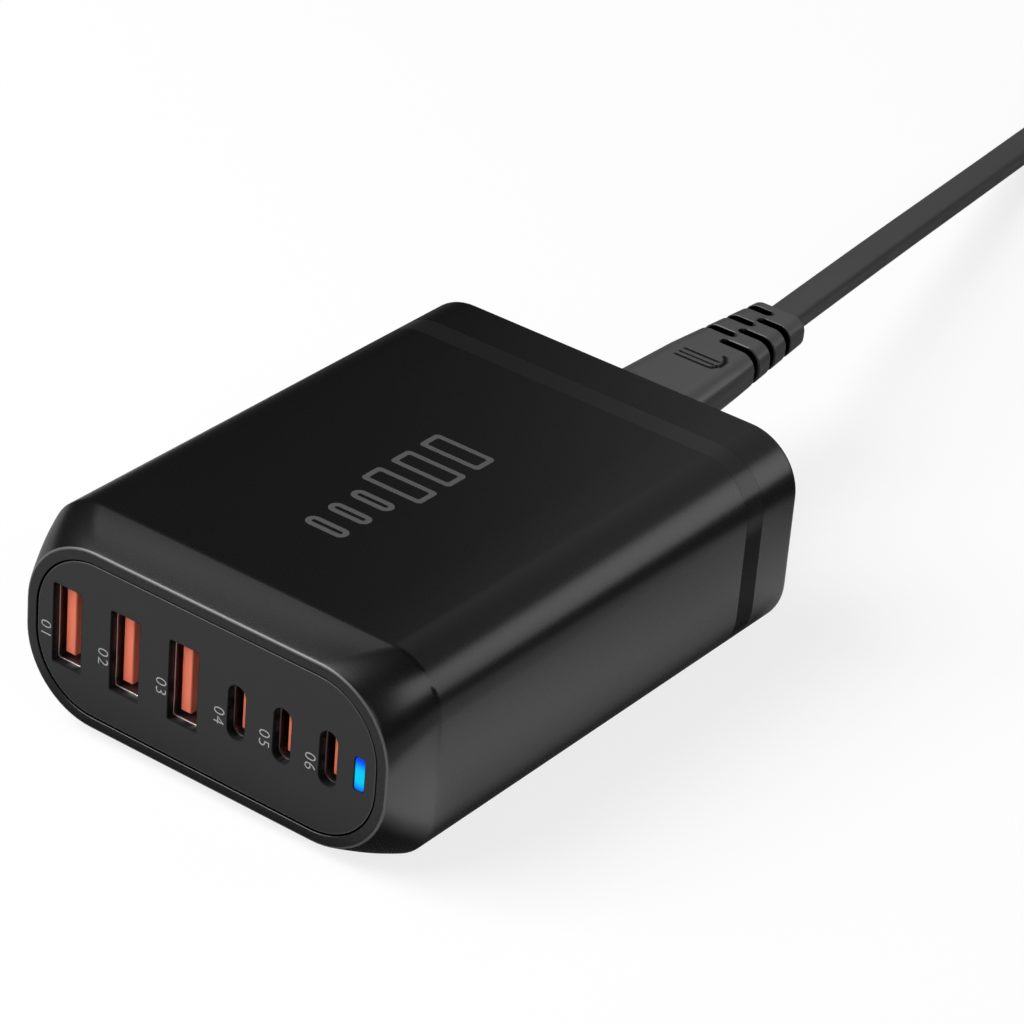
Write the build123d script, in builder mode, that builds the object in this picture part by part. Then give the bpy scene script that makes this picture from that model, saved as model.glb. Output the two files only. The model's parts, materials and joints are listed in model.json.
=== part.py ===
"""Desktop charger with six ports, a lit window and a plug-in mains lead.

The body is a bevelled sleeve that takes two boards from the back. A front panel is let into its rim, and a
rear cap with the mains inlet closes it over a glossy trim band. The lead's connector is in the inlet, and the
spare length of the flat lead lies in a tied coil behind the charger.

Frame: millimetres, X to the right seen from the ports, Y to the back, Z up, origin at the centre of the base.
"""

import os
from math import radians, sqrt, tan

from build123d import *

# Body: a rounded section, in four stretches from front to back
body_width = 70.0
body_height = 33.0
body_corner = 9.0
front_depth = 7.7
sleeve_length = 72.0
band_length = 4.1
cap_length = 8.9
wall = 2.0
back_edge = 0.8
fit_clearance = 0.15

# Largest corner radius, as a share of the shorter side
corner_limit = 0.49

# Front rim: the bevel narrows the section to the rim's outline in a slightly bulged curve
rim_inset_side = 2.5
rim_inset_top = 2.25
rim_corner_share = 0.44
rim_edge = 0.45
rim_width = 1.75
bevel_lean = 0.6
bevel_steps = 4

# Front panel
panel_gap = 0.2
panel_recess = 0.12
panel_thickness = 1.3
panel_ledge = 1.2

# Port openings in the panel, in one row: widths along X, heights along Z
usb_a_count = 3
usb_a_cut_width = 5.24
usb_a_cut_height = 13.0
usb_a_cut_corner = 0.35
usb_c_count = 3
usb_c_cut_width = 3.05
usb_c_cut_height = 8.7
window_width = 1.7
window_height = 5.2
window_corner = 0.45
row_left_margin = 2.9
row_right_margin = 1.95
window_gap = 3.05
usb_c_closer = 0.44

# Ports behind the panel
port_depth = 12.0
shell_wall = 0.3
usb_a_shell_width = 5.7
usb_a_shell_height = 13.1
usb_a_shell_corner = 0.6
usb_a_tongue_width = 1.84
usb_a_tongue_height = 11.1
usb_a_tongue_offset = 0.98
usb_a_tongue_set_back = 0.66
usb_a_tongue_edge = 0.3
usb_a_contact_places = (-3.5, -1.0, 1.0, 3.5)
usb_a_contact_height = 1.2
usb_a_contact_set_back = 1.6
usb_c_shell_width = 3.26
usb_c_shell_height = 8.94
usb_c_tongue_width = 0.7
usb_c_tongue_height = 6.7
usb_c_tongue_set_back = 0.55
usb_c_contact_count = 12
usb_c_contact_pitch = 0.5
usb_c_contact_height = 0.26
usb_c_contact_set_back = 0.4
contact_thickness = 0.12
contact_length = 5.0
port_base_depth = 3.4
port_base_clearance = 0.05

# Light pipe and status light
pipe_clearance = 0.05
pipe_flange_margin = 0.5
pipe_flange_thickness = 1.0
pipe_stem_margin = 0.15
pipe_end_gap = 0.3
light_width = 1.6
light_height = 3.2
light_thickness = 1.1

# Boards, and the rails that hold the main board in the sleeve
board_thickness = 1.6
board_clearance = 0.2
main_board_height = 6.0
main_board_corner = 1.0
rail_width = 2.6
rail_thickness = 1.5
rail_grip = 0.8

# Rear cap and mains inlet
cap_wall = 2.2
spigot_wall = 1.5
spigot_reach = 3.0
inlet_below_top = 11.0
inlet_aside = 1.0
inlet_recess_width = 14.0
inlet_recess_height = 7.6
inlet_recess_depth = 10.6
inlet_wall = 1.4
inlet_floor = 2.2
inlet_nose_corner = 3.4
inlet_flange_margin = 1.4
inlet_flange_thickness = 1.6
inlet_clearance = 0.15
inlet_pin_pitch = 8.6
inlet_pin_diameter = 2.4
inlet_pin_set_back = 1.6
inlet_pin_tip = 0.6
inlet_leg_diameter = 1.5
inlet_leg_from_edge = 2.2
inlet_leg_bend = 2.0
pin_hole_clearance = 0.05

# Lead connector: nose in the inlet, tapered grip, slotted strain relief
nose_clearance = 0.3
nose_end_gap = 0.8
shoulder_gap = 0.6
shoulder_width = 17.3
shoulder_height = 8.2
shoulder_aside = 0.5
connector_length = 47.2
connector_end_width = 10.3
connector_end_height = 5.4
relief_root_width = 14.4
relief_root_height = 6.8
relief_root_aside = 0.1
connector_corner_share = 0.42
sleeve_bore_clearance = 0.1
sleeve_contact_wall = 0.35
sleeve_contact_length = 7.0
relief_slot_count = 3
relief_slot_pitch = 5.4
relief_slot_width = 1.7
relief_end_band = 3.0
relief_slot_stagger = 3.0
relief_slot_overlap = 0.4
relief_core_margin = 0.35
relief_aside = -0.75
relief_drop = 0.7
grip_line_count = 3
grip_line_pitch = 1.35
grip_line_width = 0.45
grip_line_depth = 0.3
grip_width = 6.6
grip_from_relief = 1.4
grip_aside = 0.5

# Flat lead: width, thickness and rounded edge of its section
cord_width = 6.0
cord_thickness = 3.1
cord_edge = 1.1
bend_share = 0.45

# Free stretch of the lead, straight down to the table: X, Y from the connector's end, and height
cord_down = (-28.0, 131.0, 1.6)
cord_landing = 17.0
cord_seat_depth = 1.2

# Coil of the spare length: two layers of turns on edge, wound in and out again
coil_outer_radius = 36.5
coil_turn_pitch = 3.3
coil_turns_per_layer = 3.25
coil_lift = 0.8
coil_stub = 20.0

# Tie round the coil
tie_thickness = 0.6
tie_width = 9.0
tie_clearance = 0.05

# Tail of the lead between the coil and the mains plug: straight ends and a step aside
tail_straight = 10.0
tail_reach = 18.0
tail_aside = 4.0

# Mains plug with two round pins, lying flat
plug_relief_length = 20.0
plug_relief_width = 12.0
plug_relief_height = 8.6
plug_relief_end_width = 9.0
plug_relief_end_height = 6.0
plug_neck_length = 17.0
plug_body_length = 17.0
plug_body_width = 35.0
plug_body_height = 13.7
plug_corner = 2.4
plug_pin_pitch = 18.6
plug_pin_diameter = 4.0
plug_pin_length = 19.0
plug_pin_root = 5.0
plug_pin_tip = 1.2

# Power parts on the main board
part_gap = 1.0
core_width = 22.0
core_length = 20.0
core_height = 16.0
core_plate = 3.0
core_side = 2.5
core_leg_diameter = 8.0
winding_clearance = 0.2
bulk_rows = 2
bulk_diameter = 9.0
bulk_height = 17.0
bulk_edge = 0.8
output_count = 3
output_diameter = 6.3
output_height = 10.0
output_edge = 0.5
inductor_count = 3
inductor_side = 8.0
inductor_height = 4.5
inductor_edge = 0.8
choke_outer = 14.0
choke_inner = 6.5
choke_height = 7.0
choke_edge = 1.2
x_capacitor_size = (13.0, 6.0, 11.0)
x_capacitor_edge = 0.8
bridge_size = (14.0, 3.5, 11.0)
bridge_edge = 0.5
fuse_size = (4.0, 8.0, 7.0)
fuse_edge = 0.6
switch_count = 3
switch_size = (6.0, 8.0, 1.0)
switch_pitch = 9.0
heat_plate_thickness = 1.2
heat_plate_height = 15.0
heat_plate_foot = 4.0
heat_plate_length = 22.0

# Places worked out from the sizes above
middle = body_height / 2
body_depth = front_depth + sleeve_length + band_length + cap_length
y_rim = -body_depth / 2
y_crease = y_rim + front_depth
y_band = y_crease + sleeve_length
y_cap = y_band + band_length
y_back = y_cap + cap_length

rim_outline = (body_width - 2 * rim_inset_side, body_height - 2 * rim_inset_top)
rim_corner = rim_corner_share * rim_outline[1]
opening_outline = tuple(side - 2 * rim_width for side in rim_outline)
panel_outline = tuple(side - 2 * panel_gap for side in opening_outline)
neck_outline = tuple(side - 2 * panel_ledge for side in opening_outline)
opening_corner = rim_corner - rim_width
y_panel = y_rim + panel_recess
y_seat = y_panel + panel_thickness

bore_width = body_width - 2 * wall
bore_height = body_height - 2 * wall
bore_corner = body_corner - wall

y_port_board = y_seat + port_depth
y_main_board = y_port_board + board_thickness + board_clearance
spigot_front = y_band - spigot_reach
y_main_end = spigot_front - board_clearance - rail_grip
main_board_length = y_main_end - y_main_board
board_top = main_board_height + board_thickness

os.makedirs("parts", exist_ok=True)


def facing_front(y, x=0.0, z=middle):
    """Plane across the body at depth y, seen from the front: its X is X and its Y is up."""
    return Plane((x, y, z), x_dir=(1, 0, 0), z_dir=(0, -1, 0))


def rounded(width, height, radius, mode=Mode.ADD):
    """Rounded rectangle whose corner radius is limited by its own sides."""
    return RectangleRounded(width, height, min(radius, corner_limit * min(width, height)), mode=mode)


def stadium(width, height):
    """Upright slot with round ends."""
    return SlotOverall(height, width, rotation=90)


def save(builder, name):
    """Label a finished piece and write it to its own file."""
    builder.part.label = name
    export_step(builder.part, f"parts/{name}.step")


def bore_half_width(z):
    """Half the width of the sleeve's bore at height z."""
    rise = abs(z - middle) - (bore_height / 2 - bore_corner)
    if rise <= 0:
        return bore_width / 2
    return bore_width / 2 - bore_corner + sqrt(bore_corner**2 - rise**2)


# Main housing: sleeve and bevelled front in one moulding, open at the back
main_board_half = bore_half_width(main_board_height) - board_clearance
rail_length = y_main_end - y_main_board

with BuildPart() as main_housing:
    with BuildSketch(facing_front(y_band)):
        rounded(body_width, body_height, body_corner)
    extrude(amount=sleeve_length)
    for step in range(bevel_steps + 1):
        share = step / bevel_steps
        inset = bevel_lean * share + (1 - bevel_lean) * share**2
        with BuildSketch(facing_front(y_crease - share * front_depth)):
            rounded(
                body_width - 2 * rim_inset_side * inset,
                body_height - 2 * rim_inset_top * inset,
                body_corner + (rim_corner - body_corner) * share,
            )
    loft()
    fillet(main_housing.faces().sort_by(Axis.Y)[0].edges(), rim_edge)
    with BuildSketch(facing_front(y_band)):
        rounded(bore_width, bore_height, bore_corner)
    extrude(amount=sleeve_length, mode=Mode.SUBTRACT)
    with BuildSketch(facing_front(y_crease)):
        rounded(*neck_outline, opening_corner - panel_ledge)
    extrude(amount=front_depth, mode=Mode.SUBTRACT)
    with BuildSketch(facing_front(y_seat)):
        rounded(*opening_outline, opening_corner)
    extrude(amount=y_seat - y_rim, mode=Mode.SUBTRACT)
    # Two rails on each side wall, below and above the main board's edge
    for side in (-1, 1):
        for z in (main_board_height - rail_thickness / 2, board_top + board_clearance + rail_thickness / 2):
            rail_outer = bore_half_width(z) + wall / 2
            rail_inner = main_board_half - rail_width
            with BuildSketch(facing_front(y_main_end, side * (rail_inner + rail_outer) / 2, z)):
                Rectangle(rail_outer - rail_inner, rail_thickness)
            extrude(amount=rail_length)
save(main_housing, "main_housing")


# Front panel: a plate with the row of openings
row_free = panel_outline[0] - row_left_margin - row_right_margin - window_width - window_gap
row_free -= usb_a_count * usb_a_cut_width + usb_c_count * usb_c_cut_width
usb_a_gap = (row_free + (usb_c_count - 1) * usb_c_closer) / (usb_a_count + usb_c_count - 1)
usb_c_gap = usb_a_gap - usb_c_closer
usb_a_first = -panel_outline[0] / 2 + row_left_margin + usb_a_cut_width / 2
usb_a_places = [usb_a_first + number * (usb_a_cut_width + usb_a_gap) for number in range(usb_a_count)]
usb_c_first = usb_a_places[-1] + usb_a_cut_width / 2 + usb_a_gap + usb_c_cut_width / 2
usb_c_places = [usb_c_first + number * (usb_c_cut_width + usb_c_gap) for number in range(usb_c_count)]
window_place = panel_outline[0] / 2 - row_right_margin - window_width / 2

with BuildPart() as front_panel:
    with BuildSketch(facing_front(y_seat)):
        rounded(*panel_outline, opening_corner - panel_gap)
        with Locations(*[(x, 0) for x in usb_a_places]):
            rounded(usb_a_cut_width, usb_a_cut_height, usb_a_cut_corner, mode=Mode.SUBTRACT)
        with Locations(*[(x, 0) for x in usb_c_places]):
            SlotOverall(usb_c_cut_height, usb_c_cut_width, rotation=90, mode=Mode.SUBTRACT)
        with Locations((window_place, 0)):
            rounded(window_width, window_height, window_corner, mode=Mode.SUBTRACT)
    extrude(amount=panel_thickness)
save(front_panel, "front_panel")


# Light pipe: window, flange behind the panel and a stem back to the status light
pipe_stem_length = port_depth - pipe_flange_thickness - pipe_end_gap - light_thickness

with BuildPart() as light_pipe:
    with BuildSketch(facing_front(y_seat, window_place)):
        rounded(window_width - 2 * pipe_clearance, window_height - 2 * pipe_clearance, window_corner)
    extrude(amount=panel_thickness)
    with BuildSketch(facing_front(y_seat + pipe_flange_thickness, window_place)):
        Rectangle(window_width + 2 * pipe_flange_margin, window_height + 2 * pipe_flange_margin)
    extrude(amount=pipe_flange_thickness)
    with BuildSketch(facing_front(y_seat + pipe_flange_thickness + pipe_stem_length, window_place)):
        Rectangle(window_width - 2 * pipe_stem_margin, window_height - 2 * pipe_stem_margin)
    extrude(amount=pipe_stem_length)
save(light_pipe, "light_pipe")

with BuildPart() as status_light:
    with BuildSketch(facing_front(y_port_board, window_place)):
        Rectangle(light_width, light_height)
    extrude(amount=light_thickness)
save(status_light, "status_light")


# Wide ports: a shell, a tongue on its base block and four contacts in each
usb_a_inner_width = usb_a_shell_width - 2 * shell_wall
usb_a_inner_height = usb_a_shell_height - 2 * shell_wall
usb_a_inner_corner = usb_a_shell_corner - shell_wall
usb_a_tongue_length = port_depth - port_base_depth - usb_a_tongue_set_back
y_port_base = y_port_board - port_base_depth

for number, port_x in enumerate(usb_a_places, start=1):
    with BuildPart() as usb_a_shell:
        with BuildSketch(facing_front(y_port_board, port_x)):
            rounded(usb_a_shell_width, usb_a_shell_height, usb_a_shell_corner)
            rounded(usb_a_inner_width, usb_a_inner_height, usb_a_inner_corner, mode=Mode.SUBTRACT)
        extrude(amount=port_depth)
    save(usb_a_shell, f"usb_a_shell_{number}")

    tongue_x = port_x - usb_a_tongue_offset
    with BuildPart() as usb_a_tongue:
        with BuildSketch(facing_front(y_port_base, tongue_x)):
            Rectangle(usb_a_tongue_width, usb_a_tongue_height)
        extrude(amount=usb_a_tongue_length)
        chamfer(usb_a_tongue.faces().sort_by(Axis.Y)[0].edges(), usb_a_tongue_edge)
        with BuildSketch(facing_front(y_port_board, port_x)):
            rounded(
                usb_a_inner_width - 2 * port_base_clearance,
                usb_a_inner_height - 2 * port_base_clearance,
                usb_a_inner_corner,
            )
        extrude(amount=port_base_depth)
    save(usb_a_tongue, f"usb_a_tongue_{number}")

    contact_x = tongue_x + usb_a_tongue_width / 2 + contact_thickness / 2
    contact_end = y_port_base - usb_a_tongue_length + usb_a_contact_set_back + contact_length
    with BuildPart() as usb_a_contacts:
        with BuildSketch(facing_front(contact_end, contact_x)):
            with Locations(*[(0, z) for z in usb_a_contact_places]):
                Rectangle(contact_thickness, usb_a_contact_height)
        extrude(amount=contact_length)
    save(usb_a_contacts, f"usb_a_contacts_{number}")


# Small ports: a rounded shell, a thin tongue in its middle and contacts on both faces
usb_c_inner_width = usb_c_shell_width - 2 * shell_wall
usb_c_inner_height = usb_c_shell_height - 2 * shell_wall
usb_c_tongue_length = port_depth - port_base_depth - usb_c_tongue_set_back

for number, port_x in enumerate(usb_c_places, start=1):
    with BuildPart() as usb_c_shell:
        with BuildSketch(facing_front(y_port_board, port_x)):
            stadium(usb_c_shell_width, usb_c_shell_height)
            SlotOverall(usb_c_inner_height, usb_c_inner_width, rotation=90, mode=Mode.SUBTRACT)
        extrude(amount=port_depth)
    save(usb_c_shell, f"usb_c_shell_{number}")

    with BuildPart() as usb_c_tongue:
        with BuildSketch(facing_front(y_port_base, port_x)):
            Rectangle(usb_c_tongue_width, usb_c_tongue_height)
        extrude(amount=usb_c_tongue_length)
        with BuildSketch(facing_front(y_port_board, port_x)):
            stadium(
                usb_c_inner_width - 2 * port_base_clearance,
                usb_c_inner_height - 2 * port_base_clearance,
            )
        extrude(amount=port_base_depth)
    save(usb_c_tongue, f"usb_c_tongue_{number}")

    contact_offset = usb_c_tongue_width / 2 + contact_thickness / 2
    contact_end = y_port_base - usb_c_tongue_length + usb_c_contact_set_back + contact_length
    with BuildPart() as usb_c_contacts:
        with BuildSketch(facing_front(contact_end, port_x)):
            with GridLocations(2 * contact_offset, usb_c_contact_pitch, 2, usb_c_contact_count):
                Rectangle(contact_thickness, usb_c_contact_height)
        extrude(amount=contact_length)
    save(usb_c_contacts, f"usb_c_contacts_{number}")


# Port board: a plate across the bore that carries the ports and the status light
with BuildPart() as port_board:
    with BuildSketch(facing_front(y_port_board + board_thickness)):
        rounded(
            bore_width - 2 * board_clearance,
            bore_height - 2 * board_clearance,
            bore_corner - board_clearance,
        )
    extrude(amount=board_thickness)
save(port_board, "port_board")


# Main board: slides in between the rails from the back
with BuildPart() as main_board:
    with BuildSketch(Plane((0, y_main_board + main_board_length / 2, main_board_height))):
        rounded(2 * main_board_half, main_board_length, main_board_corner)
    extrude(amount=board_thickness)
save(main_board, "main_board")


# Trim band: a ring between the sleeve and the rear cap, flush with both
with BuildPart() as trim_band:
    with BuildSketch(facing_front(y_cap)):
        rounded(body_width, body_height, body_corner)
        rounded(bore_width, bore_height, bore_corner, mode=Mode.SUBTRACT)
    extrude(amount=band_length)
save(trim_band, "trim_band")


# Rear cap: a cup with a spigot that goes through the band into the sleeve
spigot_width = bore_width - 2 * fit_clearance
spigot_height = bore_height - 2 * fit_clearance
spigot_corner = bore_corner - fit_clearance
inlet_z = body_height - inlet_below_top
inlet_nose_width = inlet_recess_width + 2 * inlet_wall
inlet_nose_height = inlet_recess_height + 2 * inlet_wall
y_cap_inside = y_back - cap_wall

with BuildPart() as rear_cap:
    with BuildSketch(facing_front(y_back)):
        rounded(body_width, body_height, body_corner)
    extrude(amount=cap_length)
    fillet(rear_cap.faces().sort_by(Axis.Y)[-1].edges(), back_edge)
    with BuildSketch(facing_front(y_cap)):
        rounded(spigot_width, spigot_height, spigot_corner)
    extrude(amount=y_cap - spigot_front)
    with BuildSketch(facing_front(y_cap_inside)):
        rounded(spigot_width - 2 * spigot_wall, spigot_height - 2 * spigot_wall, spigot_corner - spigot_wall)
    extrude(amount=y_cap_inside - spigot_front, mode=Mode.SUBTRACT)
    with BuildSketch(facing_front(y_back, inlet_aside, inlet_z)):
        rounded(
            inlet_nose_width + 2 * inlet_clearance,
            inlet_nose_height + 2 * inlet_clearance,
            inlet_nose_corner + inlet_clearance,
        )
    extrude(amount=cap_wall, mode=Mode.SUBTRACT)
save(rear_cap, "rear_cap")


# Mains inlet: a moulded cup through the cap's wall, with a flange inside and two pins
y_inlet_floor = y_back - inlet_recess_depth
y_inlet_end = y_inlet_floor - inlet_floor
inlet_pin_places = [(-inlet_pin_pitch / 2, 0), (inlet_pin_pitch / 2, 0)]

with BuildPart() as inlet_housing:
    with BuildSketch(facing_front(y_back, inlet_aside, inlet_z)):
        rounded(inlet_nose_width, inlet_nose_height, inlet_nose_corner)
    extrude(amount=y_back - y_inlet_end)
    with BuildSketch(facing_front(y_cap_inside, inlet_aside, inlet_z)):
        rounded(
            inlet_nose_width + 2 * inlet_flange_margin,
            inlet_nose_height + 2 * inlet_flange_margin,
            inlet_nose_corner,
        )
    extrude(amount=inlet_flange_thickness)
    with BuildSketch(facing_front(y_back, inlet_aside, inlet_z)):
        SlotOverall(inlet_recess_width, inlet_recess_height)
    extrude(amount=inlet_recess_depth, mode=Mode.SUBTRACT)
    with BuildSketch(facing_front(y_inlet_floor, inlet_aside, inlet_z)):
        with Locations(*inlet_pin_places):
            Circle(inlet_pin_diameter / 2 + pin_hole_clearance)
    extrude(amount=inlet_floor, mode=Mode.SUBTRACT)
save(inlet_housing, "inlet_housing")

y_pin_tip = y_back - inlet_pin_set_back
y_leg = y_main_end - inlet_leg_from_edge

with BuildPart() as inlet_pins:
    for pin_offset, _ in inlet_pin_places:
        pin_x = inlet_aside + pin_offset
        with BuildSketch(facing_front(y_pin_tip, pin_x, inlet_z)):
            Circle(inlet_pin_diameter / 2)
        extrude(amount=y_pin_tip - y_inlet_end)
        with BuildLine():
            leg = FilletPolyline(
                (pin_x, y_inlet_end, inlet_z),
                (pin_x, y_leg, inlet_z),
                (pin_x, y_leg, board_top),
                radius=inlet_leg_bend,
            )
        with BuildSketch(facing_front(y_inlet_end, pin_x, inlet_z)):
            Circle(inlet_leg_diameter / 2)
        sweep(path=leg)
    chamfer(inlet_pins.faces().group_by(Axis.Y)[-1].edges(), inlet_pin_tip)
save(inlet_pins, "inlet_pins")


# Lead connector: nose, tapered grip with grip lines, and a strain relief with staggered slots
y_shoulder = y_back + shoulder_gap
y_relief_end = y_shoulder + connector_length
y_nose_tip = y_inlet_floor + nose_end_gap
nose_bore = inlet_pin_diameter + 2 * (sleeve_bore_clearance + sleeve_contact_wall)
y_bore_end = y_pin_tip + nose_end_gap
relief_core_width = cord_width + 2 * relief_core_margin
relief_core_height = cord_thickness + 2 * relief_core_margin
relief_length = relief_end_band + relief_slot_stagger + relief_slot_count * relief_slot_pitch
y_relief = y_relief_end - relief_length

z_lead = inlet_z - relief_drop

# The lead seats in the relief's end, in its own direction
cord_mouth = Vector(relief_aside, y_relief_end, z_lead)
cord_touch = Vector(cord_down[0], y_relief_end + cord_down[1], cord_down[2])
cord_way = (cord_touch - cord_mouth).normalized()
cord_start = cord_mouth - cord_way * cord_seat_depth


# The moulding leans towards the lead: its shoulder, the relief's start and the relief's end
shoulder_x = inlet_aside + shoulder_aside
z_root = inlet_z + (z_lead - inlet_z) * (y_relief - y_shoulder) / connector_length
shoulder_section = (y_shoulder, shoulder_x, inlet_z, shoulder_width, shoulder_height)
root_section = (y_relief, relief_root_aside, z_root, relief_root_width, relief_root_height)
end_section = (y_relief_end, relief_aside, z_lead, connector_end_width, connector_end_height)


def along_connector(y):
    """Middle of the moulding at a depth, as X and Z, and its height there."""
    near, far = (shoulder_section, root_section) if y < y_relief else (root_section, end_section)
    share = (y - near[0]) / (far[0] - near[0])
    _, x, z, _, height = (a + (b - a) * share for a, b in zip(near, far))
    return x, z, height


with BuildPart() as connector_body:
    for near, far in ((shoulder_section, root_section), (root_section, end_section)):
        for y, x, z, width, height in (far, near):
            with BuildSketch(facing_front(y, x, z)):
                rounded(width, height, connector_corner_share * height)
        loft()
    # Slots from the two sides by turns, each past the middle
    for number in range(relief_slot_count):
        left_y = y_relief_end - relief_end_band - number * relief_slot_pitch
        for side, slot_y in ((-1, left_y), (1, left_y - relief_slot_stagger)):
            slot_x = along_connector(slot_y)[0] + side * (shoulder_width / 2 - relief_slot_overlap)
            with BuildSketch(Plane((slot_x, slot_y, inlet_z))):
                SlotOverall(shoulder_width, relief_slot_width)
            extrude(amount=shoulder_height, both=True, mode=Mode.SUBTRACT)
    with BuildSketch(facing_front(y_relief_end, relief_aside, z_lead)):
        rounded(relief_core_width, relief_core_height, cord_edge)
    extrude(amount=relief_length)
    with BuildSketch(Plane(cord_start, x_dir=(1, 0, 0), z_dir=cord_way)):
        rounded(cord_width, cord_thickness, cord_edge)
    extrude(amount=2 * cord_seat_depth, mode=Mode.SUBTRACT)
    # Grip lines across the top, cut as deep as the taper leaves them
    for number in range(grip_line_count):
        line_y = y_relief - grip_from_relief - number * grip_line_pitch
        _, line_z, line_height = along_connector(line_y)
        with BuildSketch(Plane((grip_aside, line_y, line_z + line_height / 2 - grip_line_depth))):
            SlotOverall(grip_width, grip_line_width)
        extrude(amount=shoulder_height, mode=Mode.SUBTRACT)
    with BuildSketch(facing_front(y_shoulder, inlet_aside, inlet_z)):
        SlotOverall(inlet_recess_width - 2 * nose_clearance, inlet_recess_height - 2 * nose_clearance)
    extrude(amount=y_shoulder - y_nose_tip)
    with BuildSketch(facing_front(y_bore_end, inlet_aside, inlet_z)):
        with Locations(*inlet_pin_places):
            Circle(nose_bore / 2)
    extrude(amount=y_bore_end - y_nose_tip, mode=Mode.SUBTRACT)
save(connector_body, "connector_body")

with BuildPart() as connector_contacts:
    with BuildSketch(facing_front(y_bore_end, inlet_aside, inlet_z)):
        with Locations(*inlet_pin_places):
            Circle(nose_bore / 2)
            Circle(nose_bore / 2 - sleeve_contact_wall, mode=Mode.SUBTRACT)
    extrude(amount=sleeve_contact_length)
save(connector_contacts, "connector_contacts")


def bend_radii(points):
    """Radius at each inner point of a route: a share of the shorter run over the tangent of half the turn."""
    radii = []
    for before, here, after in zip(points, points[1:], points[2:]):
        arriving = Vector(here) - Vector(before)
        leaving = Vector(after) - Vector(here)
        shorter = min(arriving.length, leaving.length)
        radii.append(bend_share * shorter / tan(radians(arriving.get_angle(leaving)) / 2))
    return radii


def flat_tube(points):
    """Flat lead along straight runs joined by tangent arcs, its wide side level at the start."""
    radii = bend_radii(points)
    with BuildPart() as tube:
        with BuildLine():
            route = FilletPolyline(*points, radius=radii)
        with BuildSketch(Plane(route @ 0, x_dir=(1, 0, 0), z_dir=route % 0)) as section:
            rounded(cord_width, cord_thickness, cord_edge)
        sweep(path=route)
    length = route.length
    print("radii", [round(radius, 1) for radius in radii], "length", round(length, 1))
    print("volume", round(tube.part.volume, 1), "section by length", round(section.sketch.area * length, 1))
    return tube


# Free stretch of the lead: out of the connector, down to the table and on to the coil
cord_end = cord_touch + Vector(0, cord_landing, 0)
power_cord = flat_tube([cord_start, cord_touch, cord_end])
save(power_cord, "power_cord")


# Coil: a flat ring of wound turns, with a straight stub where the lead comes in and goes out
stub_x, stub_y, _ = cord_end
coil_x = stub_x + coil_outer_radius
coil_y = stub_y + coil_stub
coil_height = 2 * cord_width
ring_outer = coil_outer_radius + cord_thickness / 2
ring_inner = coil_outer_radius - coil_turns_per_layer * coil_turn_pitch - cord_thickness / 2
tail_x = coil_x + coil_outer_radius

with BuildPart() as cord_coil:
    with BuildSketch(Plane((coil_x, coil_y, coil_lift))):
        Circle(ring_outer)
        Circle(ring_inner, mode=Mode.SUBTRACT)
    extrude(amount=coil_height)
    for x, z in ((stub_x, coil_lift), (tail_x, coil_lift + cord_width)):
        with BuildSketch(Plane((x, coil_y - coil_stub / 2, z))):
            Rectangle(cord_thickness, coil_stub)
        extrude(amount=cord_width)
save(cord_coil, "cord_coil")

with BuildPart() as cord_tie:
    tie_inside = sqrt(ring_inner**2 - (tie_width / 2) ** 2)
    tie_middle = coil_y + (ring_outer + tie_inside) / 2
    tie_long = ring_outer - tie_inside + 2 * tie_clearance
    tie_tall = coil_height + 2 * tie_clearance
    tie_start = (coil_x - tie_width / 2, tie_middle, coil_lift + coil_height / 2)
    with BuildSketch(Plane(tie_start, x_dir=(0, 1, 0), z_dir=(1, 0, 0))):
        Rectangle(tie_long + 2 * tie_thickness, tie_tall + 2 * tie_thickness)
        Rectangle(tie_long, tie_tall, mode=Mode.SUBTRACT)
    extrude(amount=tie_width)
save(cord_tie, "cord_tie")


# Tail of the lead, from the coil's upper layer down to the plug
plug_z = plug_body_height / 2
tail_start = Vector(tail_x, coil_y - coil_stub, coil_lift + cord_width + cord_width / 2)
tail_leave = tail_start - Vector(0, tail_straight, 0)
tail_arrive = Vector(tail_x + tail_aside, tail_leave.Y - tail_reach, plug_z)
tail_end = tail_arrive - Vector(0, tail_straight, 0)
cord_tail = flat_tube([tail_start, tail_leave, tail_arrive, tail_end])
save(cord_tail, "cord_tail")


# Mains plug: strain relief, neck and flat body, with its two pins
y_plug_neck = tail_end.Y - plug_relief_length
y_plug_body = y_plug_neck - plug_neck_length
y_pin_face = y_plug_body - plug_body_length
plug_pin_places = [(-plug_pin_pitch / 2, 0), (plug_pin_pitch / 2, 0)]

with BuildPart() as mains_plug_body:
    with BuildSketch(facing_front(tail_end.Y, tail_end.X, plug_z)):
        rounded(plug_relief_end_width, plug_relief_end_height, plug_corner)
    with BuildSketch(facing_front(y_plug_neck, tail_end.X, plug_z)):
        rounded(plug_relief_width, plug_relief_height, plug_corner)
    loft()
    with BuildSketch(facing_front(y_plug_neck, tail_end.X, plug_z)):
        rounded(plug_relief_width, plug_relief_height, plug_corner)
    with BuildSketch(facing_front(y_plug_body, tail_end.X, plug_z)):
        rounded(plug_body_width, plug_body_height, plug_corner)
    loft()
    with BuildSketch(facing_front(y_plug_body, tail_end.X, plug_z)):
        rounded(plug_body_width, plug_body_height, plug_corner)
    extrude(amount=plug_body_length)
    with BuildSketch(facing_front(y_pin_face + plug_pin_root, tail_end.X, plug_z)):
        with Locations(*plug_pin_places):
            Circle(plug_pin_diameter / 2 + pin_hole_clearance)
    extrude(amount=plug_pin_root, mode=Mode.SUBTRACT)
save(mains_plug_body, "mains_plug_body")

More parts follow.
